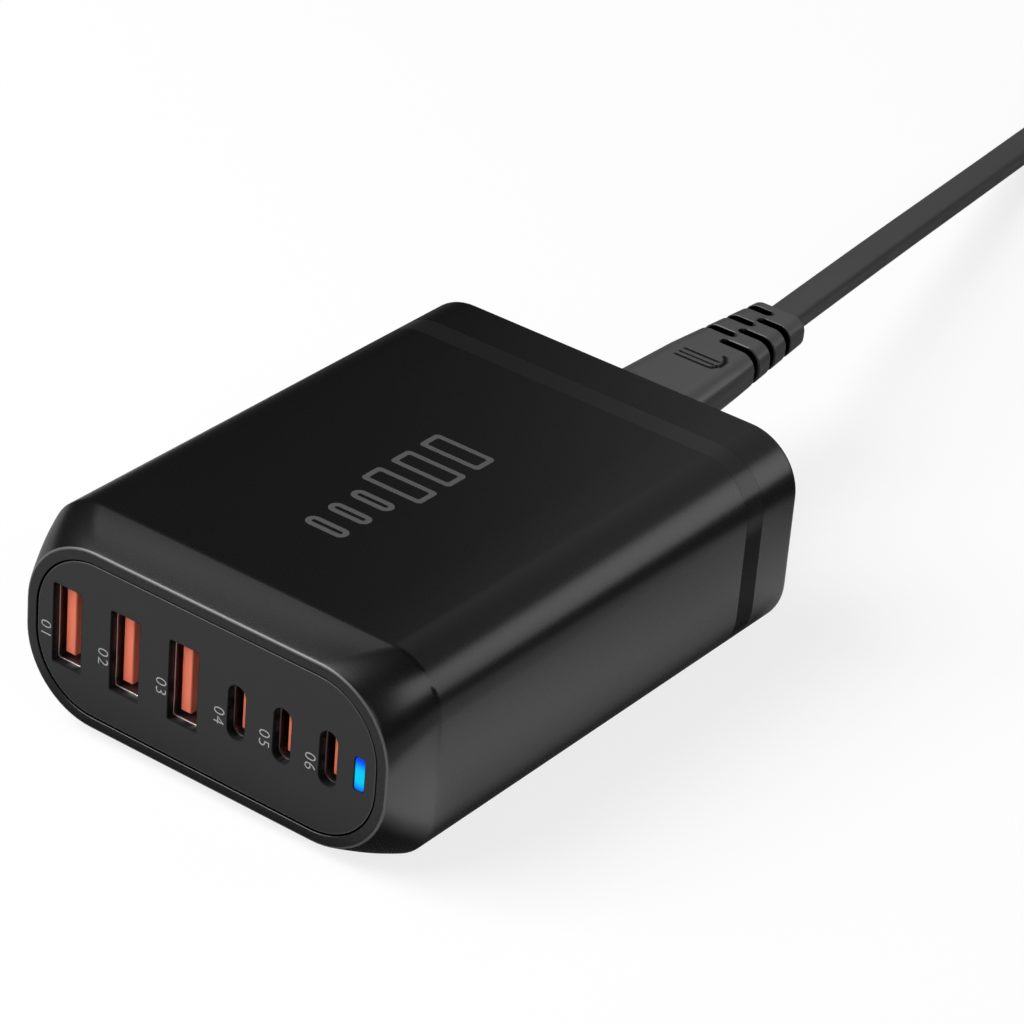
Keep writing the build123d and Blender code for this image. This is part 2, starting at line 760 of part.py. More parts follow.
with BuildPart() as mains_plug_pins:
    with BuildSketch(facing_front(y_pin_face + plug_pin_root, tail_end.X, plug_z)):
        with Locations(*plug_pin_places):
            Circle(plug_pin_diameter / 2)
    extrude(amount=plug_pin_root + plug_pin_length)
    fillet(mains_plug_pins.faces().group_by(Axis.Y)[0].edges(), plug_pin_tip)
save(mains_plug_pins, "mains_plug_pins")


# Places on the main board: a front row, a middle group and a back group, between the rails
usable = main_board_half - rail_width - part_gap
y_front_row = y_main_board + part_gap
y_back_row = y_main_end - part_gap
y_middle = (y_front_row + inductor_side + y_back_row - choke_outer) / 2
core_x = -usable + heat_plate_foot + part_gap + core_width / 2


def on_board(x, y, z=board_top):
    """Level plane on the main board."""
    return Plane((x, y, z))


def upright_block(plane, size, edge):
    """Block that stands on a plane, with its upright and top edges rounded."""
    width, length, height = size
    with BuildPart() as block:
        with BuildSketch(plane):
            Rectangle(width, length)
        extrude(amount=height)
        fillet(block.edges().filter_by(Axis.Z) + block.faces().sort_by(Axis.Z)[-1].edges(), edge)
    return block


# Transformer: a box core with a round middle leg, and the winding on that leg
core_window_height = core_height - 2 * core_plate
core_window_width = core_width - 2 * core_side

with BuildPart() as transformer_core:
    with BuildSketch(on_board(core_x, y_middle)):
        Rectangle(core_width, core_length)
    extrude(amount=core_height)
    with BuildSketch(on_board(core_x, y_middle, board_top + core_plate)):
        Rectangle(core_window_width, core_length)
        Circle(core_leg_diameter / 2, mode=Mode.SUBTRACT)
    extrude(amount=core_window_height, mode=Mode.SUBTRACT)
save(transformer_core, "transformer_core")

with BuildPart() as transformer_winding:
    with BuildSketch(on_board(core_x, y_middle, board_top + core_plate)):
        Circle(core_window_width / 2 - winding_clearance)
        Circle(core_leg_diameter / 2 + winding_clearance, mode=Mode.SUBTRACT)
    extrude(amount=core_window_height - winding_clearance)
save(transformer_winding, "transformer_winding")


# Capacitors: a block of four bulk ones beside the transformer, a row of output ones near the ports
bulk_pitch = bulk_diameter + part_gap
bulk_x = usable - bulk_rows * bulk_pitch / 2 + part_gap / 2

with BuildPart() as bulk_capacitors:
    with BuildSketch(on_board(bulk_x, y_middle)):
        with GridLocations(bulk_pitch, bulk_pitch, bulk_rows, bulk_rows):
            Circle(bulk_diameter / 2)
    extrude(amount=bulk_height)
    chamfer(bulk_capacitors.faces().group_by(Axis.Z)[-1].edges(), bulk_edge)
save(bulk_capacitors, "bulk_capacitors")

output_pitch = output_diameter + part_gap
output_x = usable - output_count * output_pitch / 2 + part_gap / 2

with BuildPart() as output_capacitors:
    with BuildSketch(on_board(output_x, y_front_row + output_diameter / 2)):
        with GridLocations(output_pitch, 0, output_count, 1):
            Circle(output_diameter / 2)
    extrude(amount=output_height)
    chamfer(output_capacitors.faces().group_by(Axis.Z)[-1].edges(), output_edge)
save(output_capacitors, "output_capacitors")


# Inductors of the port converters, in a row beside the output capacitors
inductor_pitch = inductor_side + part_gap
inductor_x = -usable + inductor_count * inductor_pitch / 2 - part_gap / 2

with BuildPart() as port_inductors:
    with BuildSketch(on_board(inductor_x, y_front_row + inductor_side / 2)):
        with GridLocations(inductor_pitch, 0, inductor_count, 1):
            rounded(inductor_side, inductor_side, inductor_edge)
    extrude(amount=inductor_height)
save(port_inductors, "port_inductors")


# Mains side: choke, suppression capacitor, bridge rectifier and fuse at the back
with BuildPart() as filter_choke:
    with BuildSketch(on_board(usable - choke_outer / 2, y_back_row - choke_outer / 2)):
        Circle(choke_outer / 2)
        Circle(choke_inner / 2, mode=Mode.SUBTRACT)
    extrude(amount=choke_height)
    chamfer(filter_choke.faces().sort_by(Axis.Z)[-1].edges(), choke_edge)
save(filter_choke, "filter_choke")

x_width, x_length, _ = x_capacitor_size
x_capacitor = upright_block(
    on_board(-usable + x_width / 2, y_back_row - x_length / 2),
    x_capacitor_size,
    x_capacitor_edge,
)
save(x_capacitor, "x_capacitor")

bridge_width, bridge_length, _ = bridge_size
bridge_rectifier = upright_block(
    on_board(-usable + bridge_width / 2, y_back_row - x_length - part_gap - bridge_length / 2),
    bridge_size,
    bridge_edge,
)
save(bridge_rectifier, "bridge_rectifier")

fuse = upright_block(
    on_board(0, y_leg - inlet_leg_diameter / 2 - part_gap - fuse_size[1] / 2),
    fuse_size,
    fuse_edge,
)
save(fuse, "fuse")


# Power switches under the board, and the heat plate that stands beside the transformer
with BuildPart() as power_switches:
    with BuildSketch(on_board(0, y_middle, main_board_height - switch_size[2])):
        with GridLocations(switch_pitch, 0, switch_count, 1):
            Rectangle(switch_size[0], switch_size[1])
    extrude(amount=switch_size[2])
save(power_switches, "power_switches")

with BuildPart() as heat_plate:
    with BuildSketch(on_board(-usable + heat_plate_foot / 2, y_middle)):
        Rectangle(heat_plate_foot, heat_plate_length)
    extrude(amount=heat_plate_thickness)
    with BuildSketch(on_board(-usable + heat_plate_thickness / 2, y_middle)):
        Rectangle(heat_plate_thickness, heat_plate_length)
    extrude(amount=heat_plate_height)
save(heat_plate, "heat_plate")
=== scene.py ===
"""Studio scene of a desktop charger with six ports and a plug-in flat mains lead.

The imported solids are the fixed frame. Each class below is one sub-assembly: it holds its own sizes, builds
the finished surfaces that stand for the solids, and dresses them. Units are metres in the frame's own axes:
X to the right seen from the ports, Y to the back, Z up, with the base on the floor.
"""

from __future__ import annotations

import json
import logging
import math
from dataclasses import dataclass, replace
from enum import Enum
from functools import cache

import bmesh
import bpy
import numpy as np
from mathutils import Matrix, Vector
from mathutils.geometry import tessellate_polygon


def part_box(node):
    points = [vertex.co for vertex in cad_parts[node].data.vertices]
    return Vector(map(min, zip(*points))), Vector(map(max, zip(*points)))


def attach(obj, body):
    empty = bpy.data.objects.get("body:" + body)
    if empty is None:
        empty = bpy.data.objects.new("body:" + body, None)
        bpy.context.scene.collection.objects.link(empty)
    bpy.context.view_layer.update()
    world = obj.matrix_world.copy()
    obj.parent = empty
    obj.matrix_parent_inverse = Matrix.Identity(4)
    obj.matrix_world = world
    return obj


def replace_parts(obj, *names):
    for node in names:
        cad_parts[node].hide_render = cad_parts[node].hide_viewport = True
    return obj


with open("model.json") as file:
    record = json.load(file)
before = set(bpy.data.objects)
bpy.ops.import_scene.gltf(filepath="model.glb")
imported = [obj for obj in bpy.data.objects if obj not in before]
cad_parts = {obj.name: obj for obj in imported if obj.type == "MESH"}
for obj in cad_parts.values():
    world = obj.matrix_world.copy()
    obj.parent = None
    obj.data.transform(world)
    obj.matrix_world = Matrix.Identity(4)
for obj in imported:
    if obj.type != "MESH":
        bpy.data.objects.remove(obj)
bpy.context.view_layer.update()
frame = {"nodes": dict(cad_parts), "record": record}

MM = 0.001
WELD = 1e-7
BODY = "root"
# Mesh attribute that carries each point's painted light: above 0 painted shade, below 0 a painted highlight.
PAINTED_LIGHT_ATTRIBUTE = "relief"
PAINTED_SHADE_ROUGHER = 0.6
PAINTED_HIGHLIGHT_ROUGHER = 0.25
GLOW_LIMITS = (0.25, 1.05)
ROUND_ENDS = math.inf
log = logging.getLogger("charger")

Color = tuple[float, float, float]
Point = tuple[float, float, float]
Pair = tuple[float, float]
Operand = bpy.types.NodeSocket | float | tuple[float, ...]
Inputs = dict[str | int, Operand]
Faces = list[list[int]]


class Detail(Enum):
    """How finely a rounded section is divided: steps round each corner, and along each side."""

    FINE = (16, 6)
    SLOTTED = (8, 32)
    MIDDLE = (8, 3)
    LIGHT = (5, 2)


@cache
def outline_columns(detail: Detail) -> tuple[np.ndarray, np.ndarray, np.ndarray]:
    """Columns of a rounded rectangle, once round it, anticlockwise seen from the front.

    The columns of a corner share its centre and turn through a quarter. The columns of a side share their
    angle and pass from one corner's centre to the next.

    Args:
        detail: how finely the corners and sides are divided.

    Returns:
        The sign of the corner centre's X and Z, and the angle, of each column.
    """
    corner_steps, side_steps = detail.value
    signs = np.array([[1, 1], [-1, 1], [-1, -1], [1, -1]], float)
    following = np.roll(signs, -1, axis=0)
    along = np.linspace(0, 1, side_steps + 1)[1:-1]
    starts = np.arange(4)[:, None] * math.pi / 2
    corner_angles = starts + np.linspace(0, math.pi / 2, corner_steps + 1)
    side_angles = np.repeat(starts + math.pi / 2, len(along), axis=1)
    corner_signs = np.repeat(signs[:, None], corner_steps + 1, axis=1)
    side_signs = signs[:, None] + (following - signs)[:, None] * along[:, None]
    all_signs = np.concatenate([corner_signs, side_signs], axis=1).reshape(-1, 2)
    angles = np.concatenate([corner_angles, side_angles], axis=1).ravel()
    return all_signs[:, 0], all_signs[:, 1], angles


def flat_section(width: float, height: float, radius: float, detail: Detail) -> np.ndarray:
    """One rounded rectangle in its own plane.

    Across = sign times half the width less the radius, plus the radius times the cosine; up is the same
    with the height and the sine.

    Args:
        width: its width.
        height: its height.
        radius: its corner radius, limited by half the shorter side.
        detail: how finely it is divided.

    Returns:
        The columns as rows of (across, up).
    """
    sign_x, sign_z, angle = outline_columns(detail)
    radius = min(radius, width / 2, height / 2)
    across = sign_x * (width / 2 - radius) + radius * np.cos(angle)
    up = sign_z * (height / 2 - radius) + radius * np.sin(angle)
    return np.stack([across, up], axis=-1)


@dataclass(frozen=True)
class Section:
    """One rounded rectangle across Y: its size, corner radius, depth and centre."""

    width: float
    height: float
    radius: float
    y: float
    x: float = 0.0
    z: float = 0.0

    def inset(self, by: float, y: float) -> Section:
        """The same section, smaller by a margin all round, at another depth."""
        return Section(
            self.width - 2 * by, self.height - 2 * by, max(self.radius - by, 0.0), y, self.x, self.z
        )

    def at(self, y: float) -> Section:
        """The same section at another depth."""
        return self.inset(0.0, y)

    def points(self, detail: Detail = Detail.FINE) -> np.ndarray:
        """Its columns as points in the frame."""
        flat = flat_section(self.width, self.height, self.radius, detail)
        return np.stack([self.x + flat[:, 0], np.full(len(flat), self.y), self.z + flat[:, 1]], axis=-1)


def edge_round(section: Section, radius: float, towards: int, steps: int = 5) -> list[Section]:
    """Quarter-round edge that ends a section's wall: the wall turns inwards as it comes to its end plane.

    Inset = radius times one less the cosine, and depth = radius times the sine, over a quarter turn.

    Args:
        section: the section at the end plane, before it is rounded.
        radius: the round's radius.
        towards: 1 where the wall comes from the front, and -1 where it comes from the back.
        steps: number of steps in the quarter turn.

    Returns:
        Sections from the wall to the end plane.
    """
    turn = np.linspace(0, math.pi / 2, steps + 1)
    insets = radius * (1 - np.cos(turn))
    depths = section.y - towards * radius * (1 - np.sin(turn))
    return [section.inset(inset, depth) for inset, depth in zip(insets, depths)]


def section_rows(sections: list[Section], detail: Detail = Detail.FINE) -> np.ndarray:
    """Points of several sections, as rows by columns by 3."""
    return np.stack([section.points(detail) for section in sections])


def eased(share: np.ndarray) -> np.ndarray:
    """Share kept between 0 and 1, and eased in and out: three times its square less twice its cube."""
    share = np.clip(share, 0, 1)
    return share * share * (3 - 2 * share)


def read_curve(curve: bpy.types.Curve) -> tuple[np.ndarray, Faces]:
    """Read what Blender makes of a curve, and remove the curve.

    Args:
        curve: the curve or text.

    Returns:
        Its points, and the corners of its faces.
    """
    holder = bpy.data.objects.new(curve.name, curve)
    mesh = bpy.data.meshes.new_from_object(holder)
    points = np.empty(len(mesh.vertices) * 3)
    mesh.vertices.foreach_get("co", points)
    faces = [list(face.vertices) for face in mesh.polygons]
    bpy.data.objects.remove(holder)
    bpy.data.meshes.remove(mesh)
    bpy.data.curves.remove(curve)
    return points.reshape(-1, 3), faces


class Surface:
    """Patches of points and faces, gathered and welded into one mesh."""

    def __init__(self) -> None:
        """Start with no patch."""
        self.points: list[np.ndarray] = []
        self.painted_lights: list[np.ndarray] = []
        self.faces: Faces = []
        self.count = 0

    def patch(self, points: np.ndarray, faces: Faces, relief: np.ndarray | float = 0.0) -> None:
        """Add points and faces.

        Args:
            points: the points, as rows of 3.
            faces: the corners of each face, counted from the first of these points.
            relief: painted light of each point, from -1 for a full painted highlight to 1 for full painted
                shade.
        """
        self.faces += [[self.count + corner for corner in face] for face in faces]
        self.points.append(points)
        self.painted_lights.append(np.broadcast_to(relief, len(points)))
        self.count += len(points)

    def grid(
        self, rows: np.ndarray, closed: bool = False, flip: bool = False, relief: np.ndarray | float = 0.0
    ) -> Surface:
        """Quads between neighbouring rows of points, each row closed on itself.

        Rows of anticlockwise sections that come forwards face outwards.

        Args:
            rows: points as rows by columns by 3.
            closed: whether the last row joins the first.
            flip: whether the faces are turned round.
            relief: painted shade or highlight of each point, or of each row as one column.

        Returns:
            This surface.
        """
        count, columns = rows.shape[:2]
        row = np.arange(count if closed else count - 1)[:, None]
        column = np.arange(columns)[None, :]
        ahead, aside = (row + 1) % count, (column + 1) % columns
        corners = [r * columns + c for r, c in ((row, column), (row, aside), (ahead, aside), (ahead, column))]
        quads = np.stack(corners, axis=-1).reshape(-1, 4)
        relief = np.broadcast_to(relief, (count, columns)).ravel()
        self.patch(rows.reshape(-1, 3), (quads[:, ::-1] if flip else quads).tolist(), relief)
        return self

    def stack(
        self,
        sections: list[Section],
        detail: Detail = Detail.FINE,
        closed: bool = False,
        flip: bool = False,
        relief: list[float] | tuple[float, ...] = (0.0,),
    ) -> Surface:
        """Quads between neighbouring sections, each with its own painted shade or highlight. See grid for the
        other arguments.
        """
        return self.grid(section_rows(sections, detail), closed, flip, np.reshape(relief, (-1, 1)))

    def lid(self, loop: np.ndarray, flip: bool = False) -> Surface:
        """One flat face over a loop, towards the front unless flipped."""
        self.patch(loop, [list(range(len(loop)))[:: -1 if flip else 1]])
        return self

    def solid(self, sections: list[Section], detail: Detail = Detail.MIDDLE) -> Surface:
        """Stack of sections from back to front, with a flat face at each end."""
        self.stack(sections, detail)
        return self.lid(sections[0].points(detail), flip=True).lid(sections[-1].points(detail))

    def plate(self, outer: np.ndarray, holes: list[np.ndarray], flip: bool = False) -> Surface:
        """Flat face across Y inside one loop and outside others, towards the front unless flipped.

        Args:
            outer: the loop round the plate.
            holes: the loops of its holes.
            flip: whether the face is turned to the back.

        Returns:
            This surface.
        """
        loops = [outer, *holes]
        points = np.concatenate(loops)
        triangles = np.array(tessellate_polygon([[Vector(point) for point in loop] for loop in loops]))
        first, second, third = (points[triangles[:, corner]] for corner in range(3))
        to_front = np.cross(second - first, third - first)[:, 1] < 0
        turned = to_front == flip
        triangles[turned] = triangles[turned][:, ::-1]
        self.patch(points, triangles.tolist())
        return self

    def piece(self, name: str, finish: Finish | Glow, slot: str, sharp: float = 32.0) -> bpy.types.Object:
        """Weld the patches into an object that rides on the charger.

        Args:
            name: the piece's name.
            finish: its finish.
            slot: the record's material slot; not used.
            sharp: the angle in degrees past which an edge is sharp.

        Returns:
            The object.
        """
        mesh = bpy.data.meshes.new(name)
        mesh.from_pydata(np.concatenate(self.points), [], self.faces)
        # Each point's painted light: painted shade above 0 and a painted highlight below 0.
        relief = mesh.attributes.new(PAINTED_LIGHT_ATTRIBUTE, "FLOAT", "POINT")
        relief.data.foreach_set("value", np.concatenate(self.painted_lights))
        welded = bmesh.new()
        welded.from_mesh(mesh)
        bmesh.ops.remove_doubles(welded, verts=welded.verts, dist=WELD)
        welded.to_mesh(mesh)
        welded.free()
        mesh.shade_smooth()
        mesh.set_sharp_from_angle(angle=math.radians(sharp))
        mesh.materials.append(finish.material())
        made = bpy.data.objects.new(name, mesh)
        bpy.context.scene.collection.objects.link(made)
        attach(made, BODY)
        log.info("%s: %d faces", name, len(mesh.polygons))
        return made


@cache
def node_box(name: str) -> tuple[np.ndarray, np.ndarray]:
    """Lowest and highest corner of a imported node."""
    low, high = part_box(name)
    return np.array(low), np.array(high)


def node_depths(name: str) -> Pair:
    """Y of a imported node's front and back."""
    low, high = node_box(name)
    return low[1], high[1]


def node_section(name: str, radius: float = 0.0) -> Section:
    """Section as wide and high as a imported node, at its front.

    Args:
        name: the node.
        radius: the section's corner radius.

    Returns:
        The section.
    """
    low, high = node_box(name)
    size, middle = high - low, (high + low) / 2
    return Section(size[0], size[2], radius, low[1], middle[0], middle[2])


# Finishes


class Socket(Enum):
    """Kinds of socket on a node group."""

    NUMBER = "NodeSocketFloat"
    COLOR = "NodeSocketColor"
    VECTOR = "NodeSocketVector"


class Wiring:
    """Adds nodes to one node tree, with their inputs linked to sockets or set to constants."""

    def __init__(self, tree: bpy.types.NodeTree) -> None:
        """Work on a tree."""
        self.tree = tree

    def feed(self, node: bpy.types.Node, inputs: Inputs) -> bpy.types.Node:
        """Link or set a node's inputs.

        Args:
            node: the node.
            inputs: the socket or the constant that each input takes, by the input's name or number.

        Returns:
            The node.
        """
        for name, operand in inputs.items():
            if isinstance(operand, bpy.types.NodeSocket):
                self.tree.links.new(operand, node.inputs[name])
            else:
                node.inputs[name].default_value = operand
        return node

    def add(self, kind: str, inputs: Inputs, **settings: object) -> bpy.types.Node:
        """Add a node.

        Args:
            kind: its type, after the word ShaderNode.
            inputs: what its inputs take.
            settings: its own properties, such as its operation.

        Returns:
            The node.
        """
        node = self.tree.nodes.new(f"ShaderNode{kind}")
        for name, setting in settings.items():
            setattr(node, name, setting)
        return self.feed(node, inputs)

    def value(self, kind: str, inputs: Inputs, **settings: object) -> bpy.types.NodeSocket:
        """Add a node, as add does, and give its first output in use."""
        node = self.add(kind, inputs, **settings)
        return next(socket for socket in node.outputs if socket.enabled)

    def number(self, operation: str, *operands: Operand, limit: bool = False) -> bpy.types.NodeSocket:
        """Result of an operation on numbers, kept between 0 and 1 if limited."""
        return self.value("Math", dict(enumerate(operands)), operation=operation, use_clamp=limit)

    def vector(self, operation: str, *operands: Operand) -> bpy.types.NodeSocket:
        """Result of an operation on vectors."""
        return self.value("VectorMath", dict(enumerate(operands)), operation=operation)

    def ranged(
        self, value: Operand, limits: tuple[Operand, ...], smooth: bool = False
    ) -> bpy.types.NodeSocket:
        """Value taken over from one range to another.

        Args:
            value: the value.
            limits: start and end of the first range, and of the other.
            smooth: whether it is eased in and out.

        Returns:
            The result's socket.
        """
        inputs = dict(zip(("From Min", "From Max", "To Min", "To Max"), limits)) | {"Value": value}
        return self.value("MapRange", inputs, interpolation_type="SMOOTHSTEP" if smooth else "LINEAR")

    def mixed(self, share: Operand, first: Operand, second: Operand) -> bpy.types.NodeSocket:
        """Colour at a share of the way between two colours."""
        return self.value("Mix", {"Factor": share, "A": first, "B": second}, data_type="RGBA")

    def place(self) -> bpy.types.NodeSocket:
        """Place in the piece's own coordinates, which are the frame's."""
        return self.add("TexCoord", {}).outputs["Object"]


def new_group(
    name: str, inputs: dict[str, Socket], outputs: dict[str, Socket]
) -> tuple[Wiring, bpy.types.NodeOutputs, bpy.types.Node]:
    """Empty shader node group with named sockets.

    Args:
        name: the group's name.
        inputs: kind of each input.
        outputs: kind of each output.

    Returns:
        Its wiring, the sockets of its inputs, and the node that takes its outputs.
    """
    group = bpy.data.node_groups.new(name, "ShaderNodeTree")
    for direction, sockets in (("INPUT", inputs), ("OUTPUT", outputs)):
        for socket, kind in sockets.items():
            group.interface.new_socket(socket, in_out=direction, socket_type=kind.value)
    given = group.nodes.new("NodeGroupInput").outputs
    return Wiring(group), given, group.nodes.new("NodeGroupOutput")


def new_material(name: str) -> tuple[bpy.types.Material, Wiring, bpy.types.Node]:
    """Empty material.

    Args:
        name: the material's name.

    Returns:
        The material, its wiring and its shader.
    """
    material = bpy.data.materials.new(name)
    material.use_nodes = True
    return material, Wiring(material.node_tree), material.node_tree.nodes["Principled BSDF"]


@cache
def grain_and_painted_light_group() -> bpy.types.NodeTree:
    """Moulded surface: fine grain, slow changes of shade and roughness, painted shade and painted highlights.

    Painted light above 0 is painted shade, and below 0 a painted highlight. Height is a fine noise about 0.
    Roughness is its middle value plus the fine noise times the spread, and grows under painted shade and
    under a painted highlight. Colour is the base colour times one plus the slow noise times the shade; it
    goes down to nothing under painted shade, and over to the highlight colour under a painted highlight.
    The last output is the painted shade's share.

    Returns:
        The group.
    """
    numbers = ("Fineness", "Patches", "Shade", "Roughness", "Spread", "Painted Light")
    inputs = {"Vector": Socket.VECTOR, "Color": Socket.COLOR, "Painted Highlight Color": Socket.COLOR}
    outputs = {"Color": Socket.COLOR} | dict.fromkeys(("Roughness", "Height", "Painted Shade"), Socket.NUMBER)
    wiring, given, out = new_group("moulded_grain_and_painted_light", inputs | dict.fromkeys(numbers, Socket.NUMBER), outputs)

    def noise(scale: str, detail: float) -> bpy.types.NodeSocket:
        """Noise over the surface, as a value about 0."""
        texture = {"Vector": given["Vector"], "Scale": given[scale], "Detail": detail}
        return wiring.number("SUBTRACT", wiring.value("TexNoise", texture), 0.5)

    fine, slow = noise("Fineness", 2.0), noise("Patches", 3.0)
    # Shares of painted shade and of painted highlight, from the painted light input.
    painted_shade, painted_highlight = (wiring.number("MULTIPLY", given["Painted Light"], sign, limit=True) for sign in (1.0, -1.0))
    shade = wiring.number("MULTIPLY_ADD", slow, given["Shade"], 1.0)
    shade = wiring.number("MULTIPLY", shade, wiring.number("SUBTRACT", 1.0, painted_shade))
    shaded = wiring.value("VectorMath", {0: given["Color"], "Scale": shade}, operation="SCALE")
    rough = wiring.number("MULTIPLY_ADD", fine, given["Spread"], given["Roughness"])
    rough = wiring.number("MULTIPLY_ADD", painted_highlight, PAINTED_HIGHLIGHT_ROUGHER, rough)
    rough = wiring.number("MULTIPLY_ADD", painted_shade, PAINTED_SHADE_ROUGHER, rough, limit=True)
    # A painted highlight turns the colour over to the highlight colour.
    color = wiring.mixed(painted_highlight, shaded, given["Painted Highlight Color"])
    wiring.feed(out, {"Color": color, "Roughness": rough, "Height": fine, "Painted Shade": painted_shade})
    return wiring.tree


@cache
def lacquer_group() -> bpy.types.NodeTree:
    """Lacquer that thins out downwards: its weight eases up with the height, between two heights.

    Returns:
        The group.
    """
    inputs = {"Vector": Socket.VECTOR, "Low": Socket.NUMBER, "High": Socket.NUMBER}
    wiring, given, out = new_group("lacquer", inputs, {"Weight": Socket.NUMBER})
    height = wiring.add("SeparateXYZ", {0: given["Vector"]}).outputs["Z"]
    limits = (given["Low"], given["High"], 0.0, 1.0)
    wiring.feed(out, {"Weight": wiring.ranged(height, limits, smooth=True)})
    return wiring.tree


@cache
def glow_group() -> bpy.types.NodeTree:
    """Lit window: bright in the middle, and deeper away from it.

    The share of the deep colour is the distance from the middle, in half-sizes, eased between two limits.

    Returns:
        The group.
    """
    inputs = {"Vector": Socket.VECTOR, "Bright": Socket.COLOR, "Deep": Socket.COLOR}
    wiring, given, out = new_group("window_glow", inputs, {"Color": Socket.COLOR})
    share = wiring.ranged(wiring.vector("LENGTH", given["Vector"]), (*GLOW_LIMITS, 0.0, 1.0), smooth=True)
    wiring.feed(out, {"Color": wiring.mixed(share, given["Bright"], given["Deep"])})
    return wiring.tree


@dataclass(frozen=True)
class Finish:
    """Solid finish with a fine grain, painted shade and painted highlights: plastic, rubber, board or metal.

    The grain's size and the patches' size are lengths over the surface, and the depth is the grain's height.
    """

    name: str
    color: Color
    roughness: float
    spread: float = 0.08
    shade: float = 0.15
    grain: float = 0.12 * MM
    patches: float = 18 * MM
    depth: float = 0.004 * MM
    specular: float = 0.5
    metallic: float = 0.0
    lacquer: Pair | None = None
    lacquer_roughness: float = 0.22
    # Colour of a painted highlight, where the painted light is below 0.
    painted_highlight_color: Color = (0.12, 0.12, 0.12)
    stretch: Point = (1.0, 1.0, 1.0)

    @cache
    def material(self) -> bpy.types.Material:
        """Material, made once for each finish: the grain feeds one shader, and painted shade makes black metal
        that reflects nothing.

        Returns:
            The material.
        """
        material, wiring, shader = new_material(self.name)
        place = wiring.place()
        grain_inputs = {
            "Vector": wiring.value("Mapping", {"Vector": place, "Scale": self.stretch}),
            "Fineness": 1 / self.grain,
            "Patches": 1 / self.patches,
            "Color": (*self.color, 1.0),
            "Shade": self.shade,
            "Roughness": self.roughness,
            "Spread": self.spread,
            "Painted Light": wiring.add("Attribute", {}, attribute_name=PAINTED_LIGHT_ATTRIBUTE).outputs["Fac"],
            "Painted Highlight Color": (*self.painted_highlight_color, 1.0),
        }
        grain = wiring.add("Group", grain_inputs, node_tree=grain_and_painted_light_group()).outputs
        shader_inputs = {
            "Base Color": grain["Color"],
            "Roughness": grain["Roughness"],
            # Painted shade turns the surface to black metal, so that it reflects nothing.
            "Metallic": self.metallic or grain["Painted Shade"],
            "Specular IOR Level": self.specular,
            "Normal": wiring.value("Bump", {"Distance": self.depth, "Height": grain["Height"]}),
        }
        if self.lacquer:
            lacquer_inputs = dict(zip(("Vector", "Low", "High"), (place, *self.lacquer)))
            shader_inputs["Coat Weight"] = wiring.value("Group", lacquer_inputs, node_tree=lacquer_group())
            shader_inputs["Coat Roughness"] = self.lacquer_roughness
        wiring.feed(shader, shader_inputs)
        return material


@dataclass(frozen=True)
class Glow:
    """Finish of the lit window: its two colours, and the window's centre and half-sizes."""

    name: str
    bright: Color
    deep: Color
    centre: Point
    half: Point
    unlit: Color = (0.0, 0.003, 0.01)
    roughness: float = 0.4
    specular: float = 0.06
    strength: float = 0.92

    def material(self) -> bpy.types.Material:
        """Material that gives out light, graded from the window's middle.

        Returns:
            The material.
        """
        material, wiring, shader = new_material(self.name)
        mapping = {
            "Vector": wiring.place(),
            "Location": tuple(-centre / half for centre, half in zip(self.centre, self.half)),
            "Scale": tuple(1 / half for half in self.half),
        }
        glow_inputs = {
            "Vector": wiring.value("Mapping", mapping),
            "Bright": (*self.bright, 1.0),
            "Deep": (*self.deep, 1.0),
        }
        shader_inputs = {
            "Base Color": (*self.unlit, 1.0),
            "Roughness": self.roughness,
            "Specular IOR Level": self.specular,
            "Emission Color": wiring.value("Group", glow_inputs, node_tree=glow_group()),
            "Emission Strength": self.strength,
        }
        wiring.feed(shader, shader_inputs)
        return material


HOUSING = Finish(
    "satin_black", (0.0018, 0.0018, 0.0019), 0.27, spread=0.03, specular=0.8, depth=0.0008 * MM
)
PANEL = Finish("panel_matte", (0.01, 0.01, 0.0101), 0.5, spread=0.06, specular=0.75, depth=0.003 * MM)
BAND = Finish(
    "band_gloss",
    (0.011, 0.011, 0.0111),
    0.15,
    spread=0.02,
    specular=0.03,
    depth=0.0002 * MM,
    lacquer=(21 * MM, 27 * MM),
)
LEAD = Finish("lead_cover", (0.068, 0.068, 0.0685), 0.3, spread=0.05, specular=0.9, depth=0.002 * MM)
# The ports' metal: its painted highlight colour lights up their lips.
STEEL = Finish(
    "port_steel",
    (0.4, 0.4, 0.42),
    0.22,
    shade=0.1,
    metallic=1.0,
    painted_highlight_color=(0.95, 0.95, 0.95),
    depth=0.001 * MM,
    stretch=(1.0, 0.08, 1.0),
)
ORANGE = Finish("tongue_orange", (0.96, 0.225, 0.13), 0.42, shade=0.08, specular=0.3, depth=0.002 * MM)
GOLD = Finish("contact_gold", (0.85, 0.7, 0.42), 0.25, metallic=1.0, depth=0.001 * MM)
INK = Finish("print_light", (0.3, 0.3, 0.305), 0.6, shade=0.05, grain=0.05 * MM, depth=0.001 * MM)
INK_DIM = Finish("print_dim", (0.075, 0.075, 0.0765), 0.6, shade=0.05, grain=0.05 * MM, depth=0.001 * MM)
PIN = Finish("pin_nickel", (0.72, 0.7, 0.66), 0.22, metallic=1.0, depth=0.001 * MM, stretch=(1.0, 0.1, 1.0))
STRAP = Finish(
    "tie_strap",
    (0.02, 0.02, 0.021),
    0.75,
    spread=0.15,
    grain=0.3 * MM,
    depth=0.05 * MM,
    stretch=(1.0, 0.3, 0.3),
)

